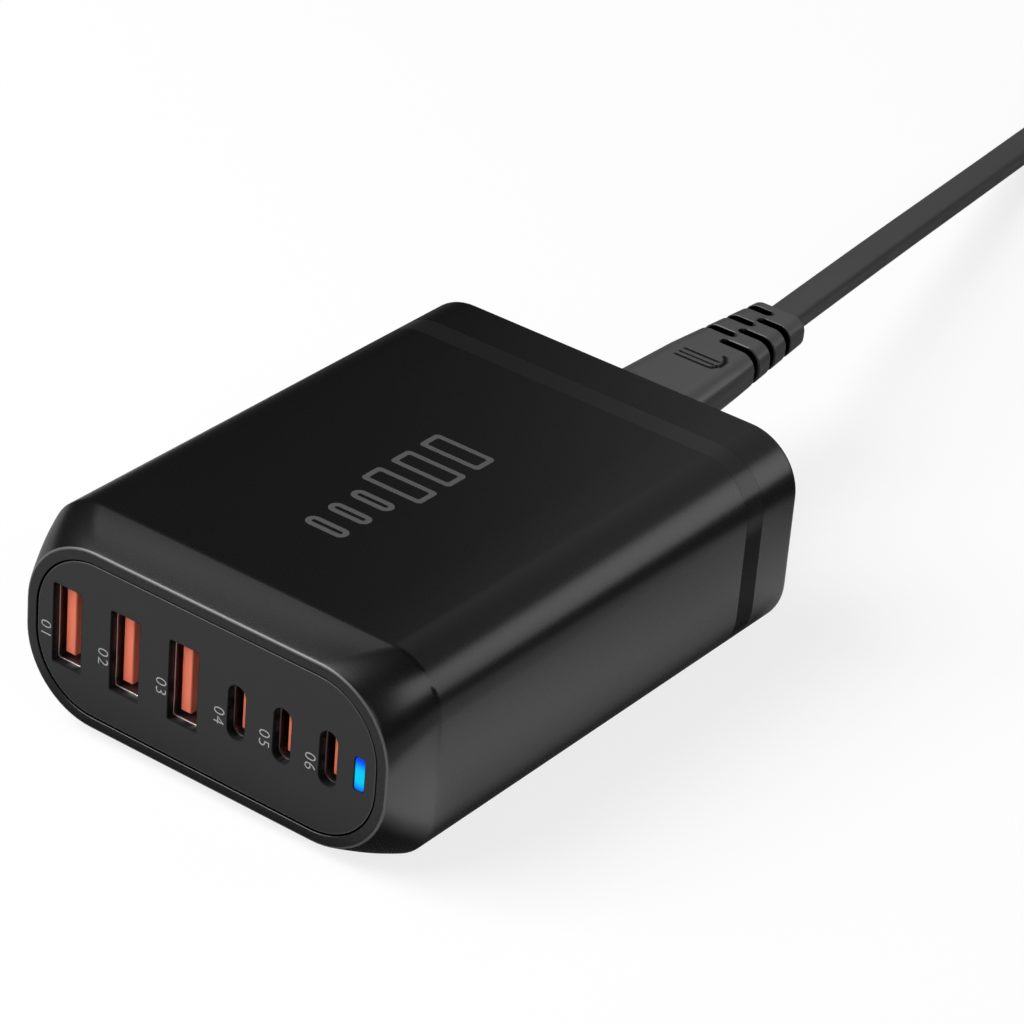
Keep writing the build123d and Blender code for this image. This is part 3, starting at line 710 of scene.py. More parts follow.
SLOT_FINISHES = {
    "housing_plastic": HOUSING,
    "panel_plastic": PANEL,
    "band_gloss": BAND,
    "port_steel": STEEL,
    "tongue_orange": ORANGE,
    "contact_gold": GOLD,
    "lead_cover": LEAD,
    "tie_plastic": STRAP,
    "pin_metal": PIN,
    "inlet_plastic": Finish("inlet_black", (0.012, 0.012, 0.012), 0.5),
    "window_blue": Finish("pipe_clear", (0.05, 0.3, 0.6), 0.15, depth=0.0002 * MM),
    "light_chip": Finish("light_chip", (0.85, 0.85, 0.78), 0.35),
    "circuit_board": Finish(
        "board_green", (0.012, 0.07, 0.035), 0.38, shade=0.3, patches=4 * MM, depth=0.01 * MM
    ),
    "ferrite": Finish("ferrite_grey", (0.035, 0.035, 0.038), 0.6, shade=0.3, depth=0.01 * MM),
    "winding_tape": Finish("winding_tape", (0.62, 0.45, 0.05), 0.35, stretch=(0.2, 0.2, 3.0)),
    "capacitor_can": Finish("capacitor_sleeve", (0.02, 0.03, 0.05), 0.3),
    "component_case": Finish("component_case", (0.03, 0.03, 0.03), 0.55),
    "heat_plate_metal": Finish("heat_plate", (0.8, 0.8, 0.81), 0.35, metallic=1.0, stretch=(1.0, 0.06, 1.0)),
}


# Studio


@dataclass(frozen=True)
class Softbox:
    """Large soft lamp: where it stands, what it points at, its size and its power in watts."""

    name: str
    place: Point
    aim: Point
    size: Pair
    power: float

    def build(self) -> None:
        """Put the lamp into the scene."""
        lamp = bpy.data.lights.new(self.name, "AREA")
        lamp.shape = "RECTANGLE"
        lamp.size, lamp.size_y = self.size
        lamp.energy = self.power
        made = bpy.data.objects.new(self.name, lamp)
        made.location = self.place
        made.rotation_mode = "QUATERNION"
        made.rotation_quaternion = (Vector(self.aim) - Vector(self.place)).to_track_quat("-Z", "Y")
        bpy.context.scene.collection.objects.link(made)


@dataclass(frozen=True)
class Fall:
    """How white falls along a line: evenly from all of it at the start to a share at the end."""

    share: float
    start: float
    end: float


@dataclass(frozen=True)
class Studio:
    """Camera, pale floor, soft lamps and a dim room."""

    camera_place: Point = (0.31751, -0.42994, 0.34011)
    camera_right: Point = (0.79153944, 0.6066512, 0.07375389)
    camera_up: Point = (-0.35837414, 0.36302781, 0.86010394)
    camera_back: Point = (0.49500837, -0.70723768, 0.50475893)
    lens: float = 151.95
    sensor: float = 36.0
    floor_half: float = 12.0
    floor_color: Color = (0.96, 0.96, 0.96)
    floor_roughness: float = 0.9
    floor_white: float = 0.8
    # Painted light on the floor in reflections: a painted contact shadow, painted falls of shade, and a
    # painted pool of light.
    mirrored_white: float = 0.66
    mirrored_contact_shadow: Fall = Fall(0.1, 12 * MM, 0.0)
    mirrored_right: Fall = Fall(0.5, 51 * MM, 61 * MM)
    mirrored_back: Fall = Fall(0.2, 72 * MM, 95 * MM)
    mirrored_left: Fall = Fall(0.62, 38 * MM, 18 * MM)
    pool_white: float = 0.52
    pool_place: Point = (64 * MM, -37 * MM, 0.0)
    pool_size: Point = (24 * MM, 17 * MM, 1.0)
    pool_edge: Pair = (0.6, 1.3)
    right_lean: Point = (1.0, 0.12, 0.0)
    footprint: Point = (35 * MM, 46.35 * MM, 0.0)
    room: float = 0.03
    softboxes: tuple[Softbox, ...] = (
        Softbox("key", (-0.75, -0.8, 1.15), (0.0, 0.0, 0.02), (1.2, 1.2), 35.5),
        Softbox("edge", (0.69, 0.905, 0.437), (0.03, 0.0, 0.03), (0.56, 0.6), 1.43),
        Softbox("corner_sheen", (0.795, -0.216, 0.652), (0.032, -0.04, 0.029), (0.44, 0.44), 1.0),
        Softbox("top_sheen", (-0.05, 0.75, 0.523), (0.02, 0.0, 0.033), (0.8, 0.55), 0.33),
        Softbox("bevel_sheen", (-0.507, 0.265, 0.751), (0.0, -0.04, 0.033), (0.34, 0.2), 0.2),
    )

    def build(self) -> None:
        """Make the camera, the floor, the lamps and the world."""
        self.build_camera()
        self.build_floor()
        self.build_world()
        for softbox in self.softboxes:
            softbox.build()
        bpy.context.scene.view_settings.view_transform = "Standard"

    def build_camera(self) -> None:
        """Camera from its place and its three axes."""
        data = bpy.data.cameras.new("camera")
        data.sensor_width = self.sensor
        data.lens = self.lens
        camera = bpy.data.objects.new("camera", data)
        axes = Matrix((self.camera_right, self.camera_up, self.camera_back)).transposed()
        camera.matrix_world = Matrix.Translation(self.camera_place) @ axes.to_4x4()
        bpy.context.scene.collection.objects.link(camera)
        bpy.context.scene.camera = camera

    def build_floor(self) -> None:
        """Pale floor that looks white from the camera, with painted shade and a painted pool of light in
        reflections, and still takes a soft shadow.
        """
        half = self.floor_half
        corners = [(-half, -half, 0), (half, -half, 0), (half, half, 0), (-half, half, 0)]
        mesh = bpy.data.meshes.new("floor")
        mesh.from_pydata(corners, [], [(0, 1, 2, 3)])
        floor = bpy.data.objects.new("floor", mesh)
        bpy.context.scene.collection.objects.link(floor)
        material, wiring, shader = new_material("floor_pale")
        mesh.materials.append(material)
        matte = {"Roughness": self.floor_roughness, "Specular IOR Level": 0.0}
        wiring.feed(shader, matte | {"Base Color": (*self.floor_color, 1.0)})
        rays = wiring.add("LightPath", {}).outputs
        seen = rays["Is Camera Ray"]
        mirrored = wiring.number("MAXIMUM", rays["Is Glossy Ray"], rays["Is Transmission Ray"])
        strength = wiring.number("MULTIPLY_ADD", mirrored, self.mirrored_shade(wiring), seen)
        white = wiring.value("Emission", {"Strength": strength})
        share = wiring.number("MULTIPLY_ADD", seen, self.floor_white, mirrored)
        mixed = wiring.value("MixShader", {0: share, 1: shader.outputs[0], 2: white})
        wiring.feed(material.node_tree.nodes["Material Output"], {"Surface": mixed})

    def mirrored_shade(self, wiring: Wiring) -> bpy.types.NodeSocket:
        """How white the floor is in a reflection, which is painted: a painted contact shadow where the charger
        stands, and painted shade to its sides and back.

        It is the white times four shares, plus a painted pool of light. The shares fall evenly, towards the
        charger's footprint, along a line to the right and to the left, and along Y. The pool is an ellipse at
        the front right, whose white eases off with the distance from its middle in half-sizes.

        Args:
            wiring: wiring of the floor's material.

        Returns:
            The strength's socket.
        """
        place = wiring.place()
        outside = wiring.vector("SUBTRACT", wiring.vector("ABSOLUTE", place), self.footprint)
        away = wiring.vector("LENGTH", wiring.vector("MAXIMUM", outside, (0.0, 0.0, 0.0)))
        right = wiring.vector("DOT_PRODUCT", place, self.right_lean)
        back = wiring.vector("DOT_PRODUCT", place, (0.0, 1.0, 0.0))
        falls = (
            (away, self.mirrored_contact_shadow),
            (right, self.mirrored_right),
            (right, self.mirrored_left),
            (back, self.mirrored_back),
        )
        shade = self.mirrored_white
        for value, fall in falls:
            share = wiring.ranged(value, (fall.start, fall.end, 1.0, fall.share))
            shade = wiring.number("MULTIPLY", shade, share)
        from_pool = wiring.vector("DIVIDE", wiring.vector("SUBTRACT", place, self.pool_place), self.pool_size)
        reach = wiring.vector("LENGTH", from_pool)
        pool = wiring.ranged(reach, (*self.pool_edge, self.pool_white, 0.0), smooth=True)
        return wiring.number("ADD", shade, pool)

    def build_world(self) -> None:
        """Dim plain room round the lamps."""
        world = bpy.data.worlds.new("room")
        bpy.context.scene.world = world
        world.use_nodes = True
        background = world.node_tree.nodes["Background"]
        background.inputs["Color"].default_value = (1.0, 1.0, 1.0, 1.0)
        background.inputs["Strength"].default_value = self.room


# Lead


@dataclass
class Lead:
    """Flat two-core lead: from the connector down to the floor, into a tied coil, and out to the plug.

    The route's points are the solid's own, in millimetres, and so are the coil's sizes. The coil has two
    layers of turns on edge, wound in below and out above.
    """

    width: float = 6.0 * MM
    thickness: float = 3.1 * MM
    edge: float = 1.1 * MM
    length: float = 1.5
    free_route: tuple[Point, ...] = (
        (-0.75, 94.15, 21.3),
        (-9.5, 135.0, 15.2),
        (-18.0, 176.0, 9.0),
        (-23.4, 202.0, 5.1),
        (-25.3, 211.0, 3.75),
        (-28.0, 225.15, 1.9),
        (-28.0, 242.15, 3.0),
    )
    tail_route: tuple[Point, ...] = (
        (45.0, 242.15, 9.8),
        (45.0, 232.15, 9.8),
        (49.0, 214.15, 6.85),
        (49.0, 204.15, 6.85),
    )
    coil_centre: Pair = (8.5, 262.15)
    coil_radius: float = 36.5
    coil_pitch: float = 3.3
    coil_turns: float = 3.25
    coil_layers: Pair = (3.8, 9.8)
    points_per_turn: int = 16
    climb_points: int = 5
    steps_between: int = 8
    turn_over: Pair = (238.0 * MM, 259.0 * MM)
    turn_back: Pair = (240.0 * MM, 214.0 * MM)
    turn_back_within: float = 80.0 * MM

    def coil_points(self) -> np.ndarray:
        """Control points of the coil.

        Each is on a spiral round the coil's centre, clockwise from above, half a step past the last leg's
        middle. Radius falls by the pitch in each lower turn and grows by it in each upper one, over the
        cosine of half a step, so that the line's legs touch the spiral. Height climbs between the layers in
        a few points.

        Returns:
            The points in millimetres, as rows of 3.
        """
        step = 2 * math.pi / self.points_per_turn
        count = round(self.coil_turns * self.points_per_turn)
        place = np.arange(count) + 0.5
        shrink = self.coil_pitch * place / self.points_per_turn
        inner = self.coil_radius - self.coil_pitch * self.coil_turns
        radius = np.concatenate([self.coil_radius - shrink, inner + shrink]) / math.cos(step / 2)
        angle = math.pi - step * (np.arange(2 * count) + 0.5)
        climb = np.clip((np.arange(2 * count) - count + 1) / self.climb_points, 0, 1)
        low, high = self.coil_layers
        x, y = self.coil_centre
        height = low + (high - low) * climb
        return np.column_stack([x + radius * np.cos(angle), y + radius * np.sin(angle), height])

    def spline_points(self) -> np.ndarray:
        """Points read along the lead's own smooth spline, from the connector to the plug.

        Returns:
            The points, as rows of 3.
        """
        control = np.concatenate([self.free_route, self.coil_points(), self.tail_route]) * MM
        curve = bpy.data.curves.new("lead_route", "CURVE")
        curve.dimensions = "3D"
        curve.resolution_u = self.steps_between
        spline = curve.splines.new("NURBS")
        spline.points.add(len(control) - 1)
        spline.points.foreach_set("co", np.column_stack([control, np.ones(len(control))]).ravel())
        spline.order_u = 3
        spline.use_endpoint_u = True
        points, _ = read_curve(curve)
        return points

    def twist(self, path: np.ndarray) -> np.ndarray:
        """Angle of the lead's wide side about its line: level, then on edge in the coil, then level again.

        The share on edge rises evenly with Y on the way in, and falls evenly with Y over the last stretch.
        The angle is that share, eased in and out, times a quarter turn.

        Args:
            path: points along the lead.

        Returns:
            The angle at each point.
        """
        along = np.concatenate([[0], np.cumsum(np.linalg.norm(np.diff(path, axis=0), axis=1))])
        y = path[:, 1]
        start, end = self.turn_over
        rising = (y - start) / (end - start)
        rising[np.argmax(y > end) :] = 1.0
        start, end = self.turn_back
        falling = (start - y) / (start - end)
        falling[along < along[-1] - self.turn_back_within] = 0.0
        share = np.where(along < along[-1] / 2, rising, 1.0 - falling)
        return eased(share) * math.pi / 2

    def build(self, pieces: list[bpy.types.Object]) -> bpy.types.Object:
        """Sweep the flat section along the spline.

        The section's wide axis is level across the line, turned about the line by the twist; its thin axis
        is square to both.

        Args:
            pieces: the separate pieces on the lead; not used.

        Returns:
            The lead.
        """
        path = self.spline_points()
        ahead = np.gradient(path, axis=0)
        ahead /= np.linalg.norm(ahead, axis=1)[:, None]
        level = np.cross(ahead, (0.0, 0.0, 1.0))
        level /= np.linalg.norm(level, axis=1)[:, None]
        upright = np.cross(level, ahead)
        turn = self.twist(path)[:, None]
        wide = np.cos(turn) * level + np.sin(turn) * upright
        thin = np.cos(turn) * upright - np.sin(turn) * level
        flat = flat_section(self.width, self.thickness, self.edge, Detail.LIGHT)
        rows = path[:, None] + flat[:, :1] * wide[:, None] + flat[:, 1:] * thin[:, None]
        surface = Surface().grid(rows).lid(rows[0], flip=True).lid(rows[-1])
        lead = surface.piece("lead", LEAD, "lead_cover", sharp=60)
        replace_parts(lead, "power_cord", "cord_coil", "cord_tail")
        return lead


@dataclass
class CoilTie:
    """Strap round the coil's turns, away from the charger."""

    corner: float = 1.2 * MM
    thickness: float = 0.6 * MM
    swell: float = 0.12 * MM
    steps: int = 9

    def build(self) -> bpy.types.Object:
        """Sweep the strap's thin section round the bundle.

        Outer and inner walls are rounded rectangles in the plane across the strap; the strap bulges by the
        swell in the middle of its width, as a cosine.

        Returns:
            The strap.
        """
        low, high = node_box("cord_tie")
        size, middle = high - low, (high + low) / 2
        share = np.linspace(-1, 1, self.steps)
        insets = self.swell * (1 - np.cos(share * math.pi / 2))
        along = middle[0] + share * size[0] / 2
        outline = Section(size[1], size[2], self.corner, low[0], middle[1], middle[2])
        outer = [
            replace(outline, width=size[1] - 2 * inset, height=size[2] - 2 * inset, y=x)
            for inset, x in zip(insets, along)
        ]
        inner = [outline.inset(self.thickness, x) for x in along[::-1]]
        rows = section_rows(outer + inner, Detail.MIDDLE)[..., [1, 0, 2]]
        tie = Surface().grid(rows, closed=True, flip=True).piece("coil_tie", STRAP, "tie_plastic", sharp=50)
        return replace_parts(tie, "cord_tie")


@dataclass
class MainsPlug:
    """Flat two-pin plug on the lead's far end."""

    corner: float = 2.4 * MM
    relief_end: Pair = (9.0 * MM, 6.0 * MM)
    relief_root: Pair = (12.0 * MM, 8.6 * MM)
    relief_length: float = 20.0 * MM
    neck_length: float = 17.0 * MM
    edge: float = 0.9 * MM
    ridge_count: int = 5
    ridge_depth: float = 0.7 * MM
    ridge_steps: int = 12
    neck_steps: int = 16
    neck_ease: float = 0.45
    pin_pitch: float = 18.6 * MM
    pin_radius: float = 2.0 * MM
    pin_tip: float = 1.2 * MM
    sleeve_length: float = 10.0 * MM
    sleeve_proud: float = 0.05 * MM

    def build(self) -> list[bpy.types.Object]:
        """Body with a ridged strain relief, pins and pin sleeves."""
        return [self.build_body(), self.build_pins(), self.build_sleeves()]

    def build_body(self) -> bpy.types.Object:
        """Stack of sections from the lead to the pin face.

        The relief widens evenly, with grooves as the fourth power of a sine of its length; the neck flares
        to the body in a curve that is partly eased; the pin face has a rounded edge.

        Returns:
            The body.
        """
        face = node_section("mains_plug_body", self.corner)
        _, back = node_depths("mains_plug_body")
        end, root = np.array(self.relief_end), np.array(self.relief_root)
        full = np.array([face.width, face.height])
        share = np.linspace(0, 1, self.ridge_steps * self.ridge_count + 1)[:, None]
        grooves = 2 * self.ridge_depth * np.sin(share * math.pi * self.ridge_count) ** 4
        flare = np.linspace(0, 1, self.neck_steps + 1)[1:, None]
        come_out = (1 - self.neck_ease) * flare + self.neck_ease * eased(flare)
        sizes = np.concatenate([end + (root - end) * share - grooves, root + (full - root) * come_out])
        along = [share * self.relief_length, self.relief_length + flare * self.neck_length]
        depths = back - np.concatenate(along)
        sections = [Section(*size, self.corner, y, face.x, face.z) for size, y in zip(sizes, depths[:, 0])]
        sections += edge_round(face, self.edge, towards=-1)
        surface = Surface().solid(sections)
        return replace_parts(surface.piece("mains_plug", LEAD, "lead_cover"), "mains_plug_body")

    def pin_places(self) -> list[Pair]:
        """X and Z of the two pins."""
        pins = node_section("mains_plug_pins")
        return [(pins.x + side * self.pin_pitch / 2, pins.z) for side in (-1, 1)]

    def build_pins(self) -> bpy.types.Object:
        """Round pins with a rounded tip, as stacks of circles.

        Returns:
            The two pins as one piece.
        """
        front, back = node_depths("mains_plug_pins")
        surface = Surface()
        for x, z in self.pin_places():
            tip = Section(2 * self.pin_radius, 2 * self.pin_radius, ROUND_ENDS, front, x, z)
            surface.solid([tip.at(back), *edge_round(tip, self.pin_tip, towards=-1)])
        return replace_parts(surface.piece("plug_pins", PIN, "pin_metal"), "mains_plug_pins")

    def build_sleeves(self) -> bpy.types.Object:
        """Insulating sleeve on the root of each pin, a little proud of it.

        Returns:
            The two sleeves as one piece.
        """
        face, _ = node_depths("mains_plug_body")
        size = 2 * (self.pin_radius + self.sleeve_proud)
        surface = Surface()
        for x, z in self.pin_places():
            end = Section(size, size, ROUND_ENDS, face - self.sleeve_length, x, z)
            edge = edge_round(end, self.sleeve_proud, towards=-1, steps=2)
            surface.stack([end.at(face), *edge], Detail.MIDDLE)
        return surface.piece("pin_sleeves", LEAD, "lead_cover")


@dataclass
class LeadConnector:
    """Moulded connector in the charger's back: nose, tapered grip and slotted strain relief."""

    widths: Point = (17.3 * MM, 14.4 * MM, 10.3 * MM)
    heights: Point = (8.2 * MM, 6.8 * MM, 5.4 * MM)
    asides: Point = (1.5 * MM, 0.1 * MM, -0.75 * MM)
    corner_share: float = 0.42
    length: float = 47.2 * MM
    relief_length: float = 22.2 * MM
    drop: float = 0.7 * MM
    edge: float = 0.5 * MM
    nose: Pair = (13.4 * MM, 7.0 * MM)
    core: Point = (6.7 * MM, 3.8 * MM, 1.1 * MM)
    slot_count: int = 3
    slot_pitch: float = 5.4 * MM
    slot_width: float = 1.7 * MM
    slot_stagger: float = 3.0 * MM
    slot_overlap: float = 0.4 * MM
    slot_edge: float = 0.2 * MM
    end_band: float = 3.0 * MM
    grip_lines: int = 3
    grip_pitch: float = 1.35 * MM
    grip_size: Pair = (6.6 * MM, 0.5 * MM)
    grip_depth: float = 0.3 * MM
    # Share of painted shade in the grip lines.
    grip_painted_shade: float = 0.87
    grip_top: float = 0.7
    grip_aside: float = 0.5 * MM
    grip_after: float = 1.4 * MM
    grip_arc: Pair = (3.7 * MM, 2.2 * MM)
    grip_arc_turn: Pair = (math.radians(-36.0), math.radians(48.0))
    fine_step: float = 0.1 * MM
    grip_rows: int = 12

    def section(self, y: float) -> Section:
        """Section at a depth: it changes evenly from the shoulder to the relief's start, and to its end.

        Args:
            y: the depth.

        Returns:
            The section.
        """
        _, y_end = node_depths("connector_body")
        stations = (y_end - self.length, y_end - self.relief_length, y_end)
        width, height, x = (np.interp(y, stations, row) for row in (self.widths, self.heights, self.asides))
        drop = self.drop * (y - stations[0]) / self.length
        z = node_section("inlet_housing").z - drop
        return Section(width, height, self.corner_share * height, y, x, z)

    def slot_depth(self, rows: np.ndarray, middle: np.ndarray, y_end: float) -> np.ndarray:
        """How far each point is inside the nearest slot's outline; less than 0 outside.

        A slot is a band across the moulding with a round end past the middle.

        Args:
            rows: points as rows by columns by 3.
            middle: X of the moulding's middle in each row.
            y_end: depth of the relief's end.

        Returns:
            The distance inside, for each point.
        """
        inside = np.full(rows.shape[:2], -math.inf)
        for number in range(self.slot_count):
            left_y = y_end - self.end_band - number * self.slot_pitch
            for side, slot_y in ((-1, left_y), (1, left_y - self.slot_stagger)):
                along = side * (rows[..., 0] - middle[:, None])
                past_end = np.maximum(self.slot_width / 2 - self.slot_overlap - along, 0)
                distance = np.hypot(past_end, rows[..., 1] - slot_y)
                inside = np.maximum(inside, self.slot_width / 2 - distance)
        return inside

    def grip_depths(self, rows: np.ndarray, y_first: float) -> np.ndarray:
        """How far each point of the top is inside the nearest grip line's outline; less than 0 outside.

        The lines are straight across, with round ends. An arc closes them on the right.

        Args:
            rows: points as rows by columns by 3.
            y_first: depth of the line nearest the relief.

        Returns:
            The distance inside, for each point.
        """
        _, sign_z, angle = outline_columns(Detail.SLOTTED)
        on_top = (sign_z > 0) & (np.sin(angle) > self.grip_top)
        half_long, half_wide = self.grip_size[0] / 2, self.grip_size[1] / 2
        across, along = rows[..., 0] - self.grip_aside, rows[..., 1] - y_first
        past_end = np.maximum(np.abs(across) - half_long + half_wide, 0)
        lines = [np.hypot(past_end, along + number * self.grip_pitch) for number in range(self.grip_lines)]
        radius, arc_up = self.grip_arc
        first_turn, last_turn = self.grip_arc_turn
        to_x = across - half_long + radius * math.cos(first_turn)
        to_y = along + (self.grip_lines - 1) * self.grip_pitch - arc_up
        turn = np.arctan2(to_y, to_x)
        off_arc = radius * np.maximum(np.maximum(first_turn - turn, turn - last_turn), 0)
        lines.append(np.hypot(np.hypot(to_x, to_y) - radius, off_arc))
        return np.where(on_top, half_wide - np.min(lines, axis=0), -math.inf)

    def build(self) -> bpy.types.Object:
        """One stack from the relief's end to the nose's tip.

        Every point of the tapered sections moves towards the core's section by an eased step at the slots'
        outline, and the top moves down by an eased step at the grip lines' outline. Painted shade darkens the
        slots, and a little less the grip lines; it starts one fine step further out.

        Returns:
            The connector.
        """
        y_tip, y_end = node_depths("connector_body")
        y_shoulder = y_end - self.length
        y_relief = y_end - self.relief_length
        y_fine = y_relief - self.grip_after - self.grip_lines * self.grip_pitch
        depths = np.arange(y_end - self.edge, y_fine, -self.fine_step)
        depths = np.concatenate([depths, np.linspace(y_fine, y_shoulder + self.edge, self.grip_rows)])
        body = [self.section(y) for y in depths]
        rows = section_rows(body, Detail.SLOTTED)
        middle = np.array([section.x for section in body])
        end = self.section(y_end)
        core = Section(*self.core, 0.0, end.x, end.z).points(Detail.SLOTTED)
        in_slot = self.slot_depth(rows, middle, y_end)
        in_grip = self.grip_depths(rows, y_relief - self.grip_after)
        mask = eased(in_slot / self.slot_edge + 0.5)
        rows[..., 0] += mask * (core[:, 0] - rows[..., 0])
        rows[..., 2] += mask * (core[:, 2] - rows[..., 2])
        rows[..., 2] -= self.grip_depth * eased(2 * in_grip / self.grip_size[1] + 0.5)
        # Painted shade over the slots and, a little less, over the grip lines.
        slots, lines = (eased(inside / self.fine_step + 1.5) for inside in (in_slot, in_grip))
        painted_shade = np.maximum(slots, self.grip_painted_shade * lines)
        back = edge_round(end, self.edge, towards=1)[::-1]
        inlet = node_section("inlet_housing")
        nose = Section(*self.nose, self.nose[1] / 2, y_shoulder, inlet.x, inlet.z)
        front = [*edge_round(self.section(y_shoulder), self.edge, towards=-1), nose]
        front += edge_round(nose.at(y_tip), self.edge, towards=-1)
        before, after = section_rows(back, Detail.SLOTTED), section_rows(front, Detail.SLOTTED)
        plain = [np.zeros(part.shape[:2]) for part in (before, after)]
        shade = np.concatenate([plain[0], painted_shade, plain[1]])
        surface = Surface().grid(np.concatenate([before, rows, after]), relief=shade)
        surface.lid(before[0], flip=True).lid(after[-1])
        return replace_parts(surface.piece("connector", LEAD, "lead_cover", sharp=70), "connector_body")


# Charger


@dataclass
class MainHousing:
    """Sleeve with a bevelled front, whose rim holds the panel."""

    corner: float = 9.0 * MM
    front_depth: float = 7.7 * MM
    rim_size: Pair = (65.0 * MM, 28.5 * MM)
    rim_corner: float = 12.54 * MM
    rim_edge: float = 0.45 * MM
    rim_width: float = 1.75 * MM
    ledge: float = 1.2 * MM
    lip: float = 0.1 * MM
    bevel_lean: float = 0.6
    bevel_end_angle: float = math.radians(23.0)
    # Strength of the painted highlight along the rim's rounded edge.
    edge_painted_highlight: float = 0.8
    seam_margin: float = 1.0 * MM
    crease_margin: float = 0.6 * MM
    sleeve_rows: int = 12
    bevel_rows: int = 22
    edge_rows: int = 7
    wall: float = 2.0 * MM
    seam: float = 0.04 * MM

    def bevel(self, share: float, inset: float, y: float) -> Section:
        """Section at a share of the bevel's depth, smaller by a further inset, at a depth.

        Its sides come in by the lean times the share plus the rest times the share squared, and its corner
        radius grows evenly.

        Args:
            share: the share of the bevel's depth.
            inset: the further inset.
            y: the depth.

        Returns:
            The section.
        """
        body = node_section("main_housing", self.corner)
        come_in = self.bevel_lean * share + (1 - self.bevel_lean) * share**2
        width = body.width + (self.rim_size[0] - body.width) * come_in
        height = body.height + (self.rim_size[1] - body.height) * come_in
        radius = self.corner + (self.rim_corner - self.corner) * share
        return Section(width, height, radius, y, body.x, body.z).inset(inset, y)

    def sections(self) -> tuple[list[Section], list[float]]:
        """Sections along one closed line: back seam, sleeve, bevel, rim, panel opening, neck and bore.

        The rim's edge is an arc that leaves the bevel at the bevel's own angle and ends in the rim's plane.
        It carries a painted highlight in its middle, as a sine, and the opening's walls carry painted shade.

        Returns:
            The sections, and the painted shade or highlight of each.
        """
        y_rim, y_band = node_depths("main_housing")
        y_crease = y_rim + self.front_depth
        _, y_seat = node_depths("front_panel")
        body = self.bevel(0.0, 0.0, y_band)
        sleeve = [body.inset(self.seam, y_band), body.at(y_band - self.seam)]
        first, last = y_band - self.seam_margin, y_crease + self.crease_margin
        sleeve += [body.at(y) for y in np.linspace(first, last, self.sleeve_rows)]
        start = self.rim_edge * (1 - math.sin(self.bevel_end_angle))
        last_share = 1 - start / self.front_depth
        shares = np.linspace(0, last_share, self.bevel_rows)
        bevel = [self.bevel(s, 0.0, y_crease - s * self.front_depth) for s in shares]
        turn = np.linspace(self.bevel_end_angle, math.pi / 2, self.edge_rows + 1)[1:]
        come_in = self.rim_edge * (math.cos(self.bevel_end_angle) - np.cos(turn))
        come_out = self.rim_edge * (np.sin(turn) - math.sin(self.bevel_end_angle))
        y_start = y_crease - last_share * self.front_depth
        edge = [self.bevel(last_share, inset, y_start - out) for inset, out in zip(come_in, come_out)]
        rim = self.bevel(1.0, 0.0, y_rim)
        opening = rim.inset(self.rim_width, y_rim)
        lip = [opening.inset(-self.lip, y_rim), opening.at(y_rim + self.lip)]
        neck = opening.inset(self.ledge, y_seat)
        bore = body.inset(self.wall, y_crease)
        inside = [opening.at(y_seat), neck, neck.at(y_crease), bore, bore.at(y_band)]
        # Painted light of each section: a painted highlight on the rim's edge, and painted shade from the
        # opening's lip inwards.
        relief = [0.0] * len(sleeve + bevel)
        relief += (-self.edge_painted_highlight * np.sin(np.linspace(0, math.pi, len(edge) + 1)[1:])).tolist()
        relief += [0.0, 1.0] + [1.0] * len(inside)
        return sleeve + bevel + edge + lip + inside, relief

    def build(self) -> bpy.types.Object:
        """One closed shell through all the sections.

        Returns:
            The housing.
        """
        sections, relief = self.sections()
        surface = Surface().stack(sections, closed=True, relief=relief)
        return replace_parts(surface.piece("housing", HOUSING, "housing_plastic", sharp=24), "main_housing")


@dataclass
class FrontPanel:
    """Matte plate in the rim, with the row of openings."""

    corner: float = 10.59 * MM
    chamfer: float = 0.1 * MM
    wide_opening: Point = (5.24 * MM, 13.0 * MM, 0.35 * MM)
    small_opening: Point = (3.05 * MM, 8.7 * MM, 1.525 * MM)
    window_opening: Point = (1.7 * MM, 5.2 * MM, 0.45 * MM)
    # Painted light of each section: painted shade in the gap round the plate and a thin painted highlight on
    # its chamfer; painted shade in the openings.
    rim_painted_light: tuple[float, ...] = (1.0, 1.0, -0.6, 0.0)
    opening_painted_shade: tuple[float, ...] = (0.0, 0.4, 0.6, 0.6)

    def openings(self) -> list[Section]:
        """The openings, in front of their ports and the light pipe, at the panel's face.

        Returns:
            Their sections: three wide ports, three small ports and the window.
        """
        face, _ = node_depths("front_panel")
        nodes = [f"{kind}_shell_{number}" for kind in ("usb_a", "usb_c") for number in (1, 2, 3)]
        nodes.append("light_pipe")
        sizes = [self.wide_opening] * 3 + [self.small_opening] * 3 + [self.window_opening]
        centres = [node_section(node) for node in nodes]
        return [Section(*size, face, c.x, c.z) for size, c in zip(sizes, centres)]

    def build(self) -> bpy.types.Object:
        """Plate with chamfered edges: flat front and back, and a wall round it and in each opening.

        Returns:
            The panel.
        """
        front, back = node_depths("front_panel")
        outline = node_section("front_panel", self.corner)
        rim = [outline.at(back), outline.at(front + self.chamfer)]
        rim += [outline.inset(margin * self.chamfer, front) for margin in (1, 2)]
        holes = []
        for hole in self.openings():
            lip = [hole.inset(-margin * self.chamfer, front) for margin in (2, 1)]
            holes.append([*lip, hole.at(front + self.chamfer), hole.at(back)])
        surface = Surface().stack(rim, relief=self.rim_painted_light)
        for hole in holes:
            surface.stack(hole, relief=self.opening_painted_shade)
        surface.plate(rim[-1].points(), [hole[0].points() for hole in holes])
        surface.plate(rim[0].points(), [hole[-1].points() for hole in holes], flip=True)
        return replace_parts(surface.piece("panel", PANEL, "panel_plastic", sharp=30), "front_panel")


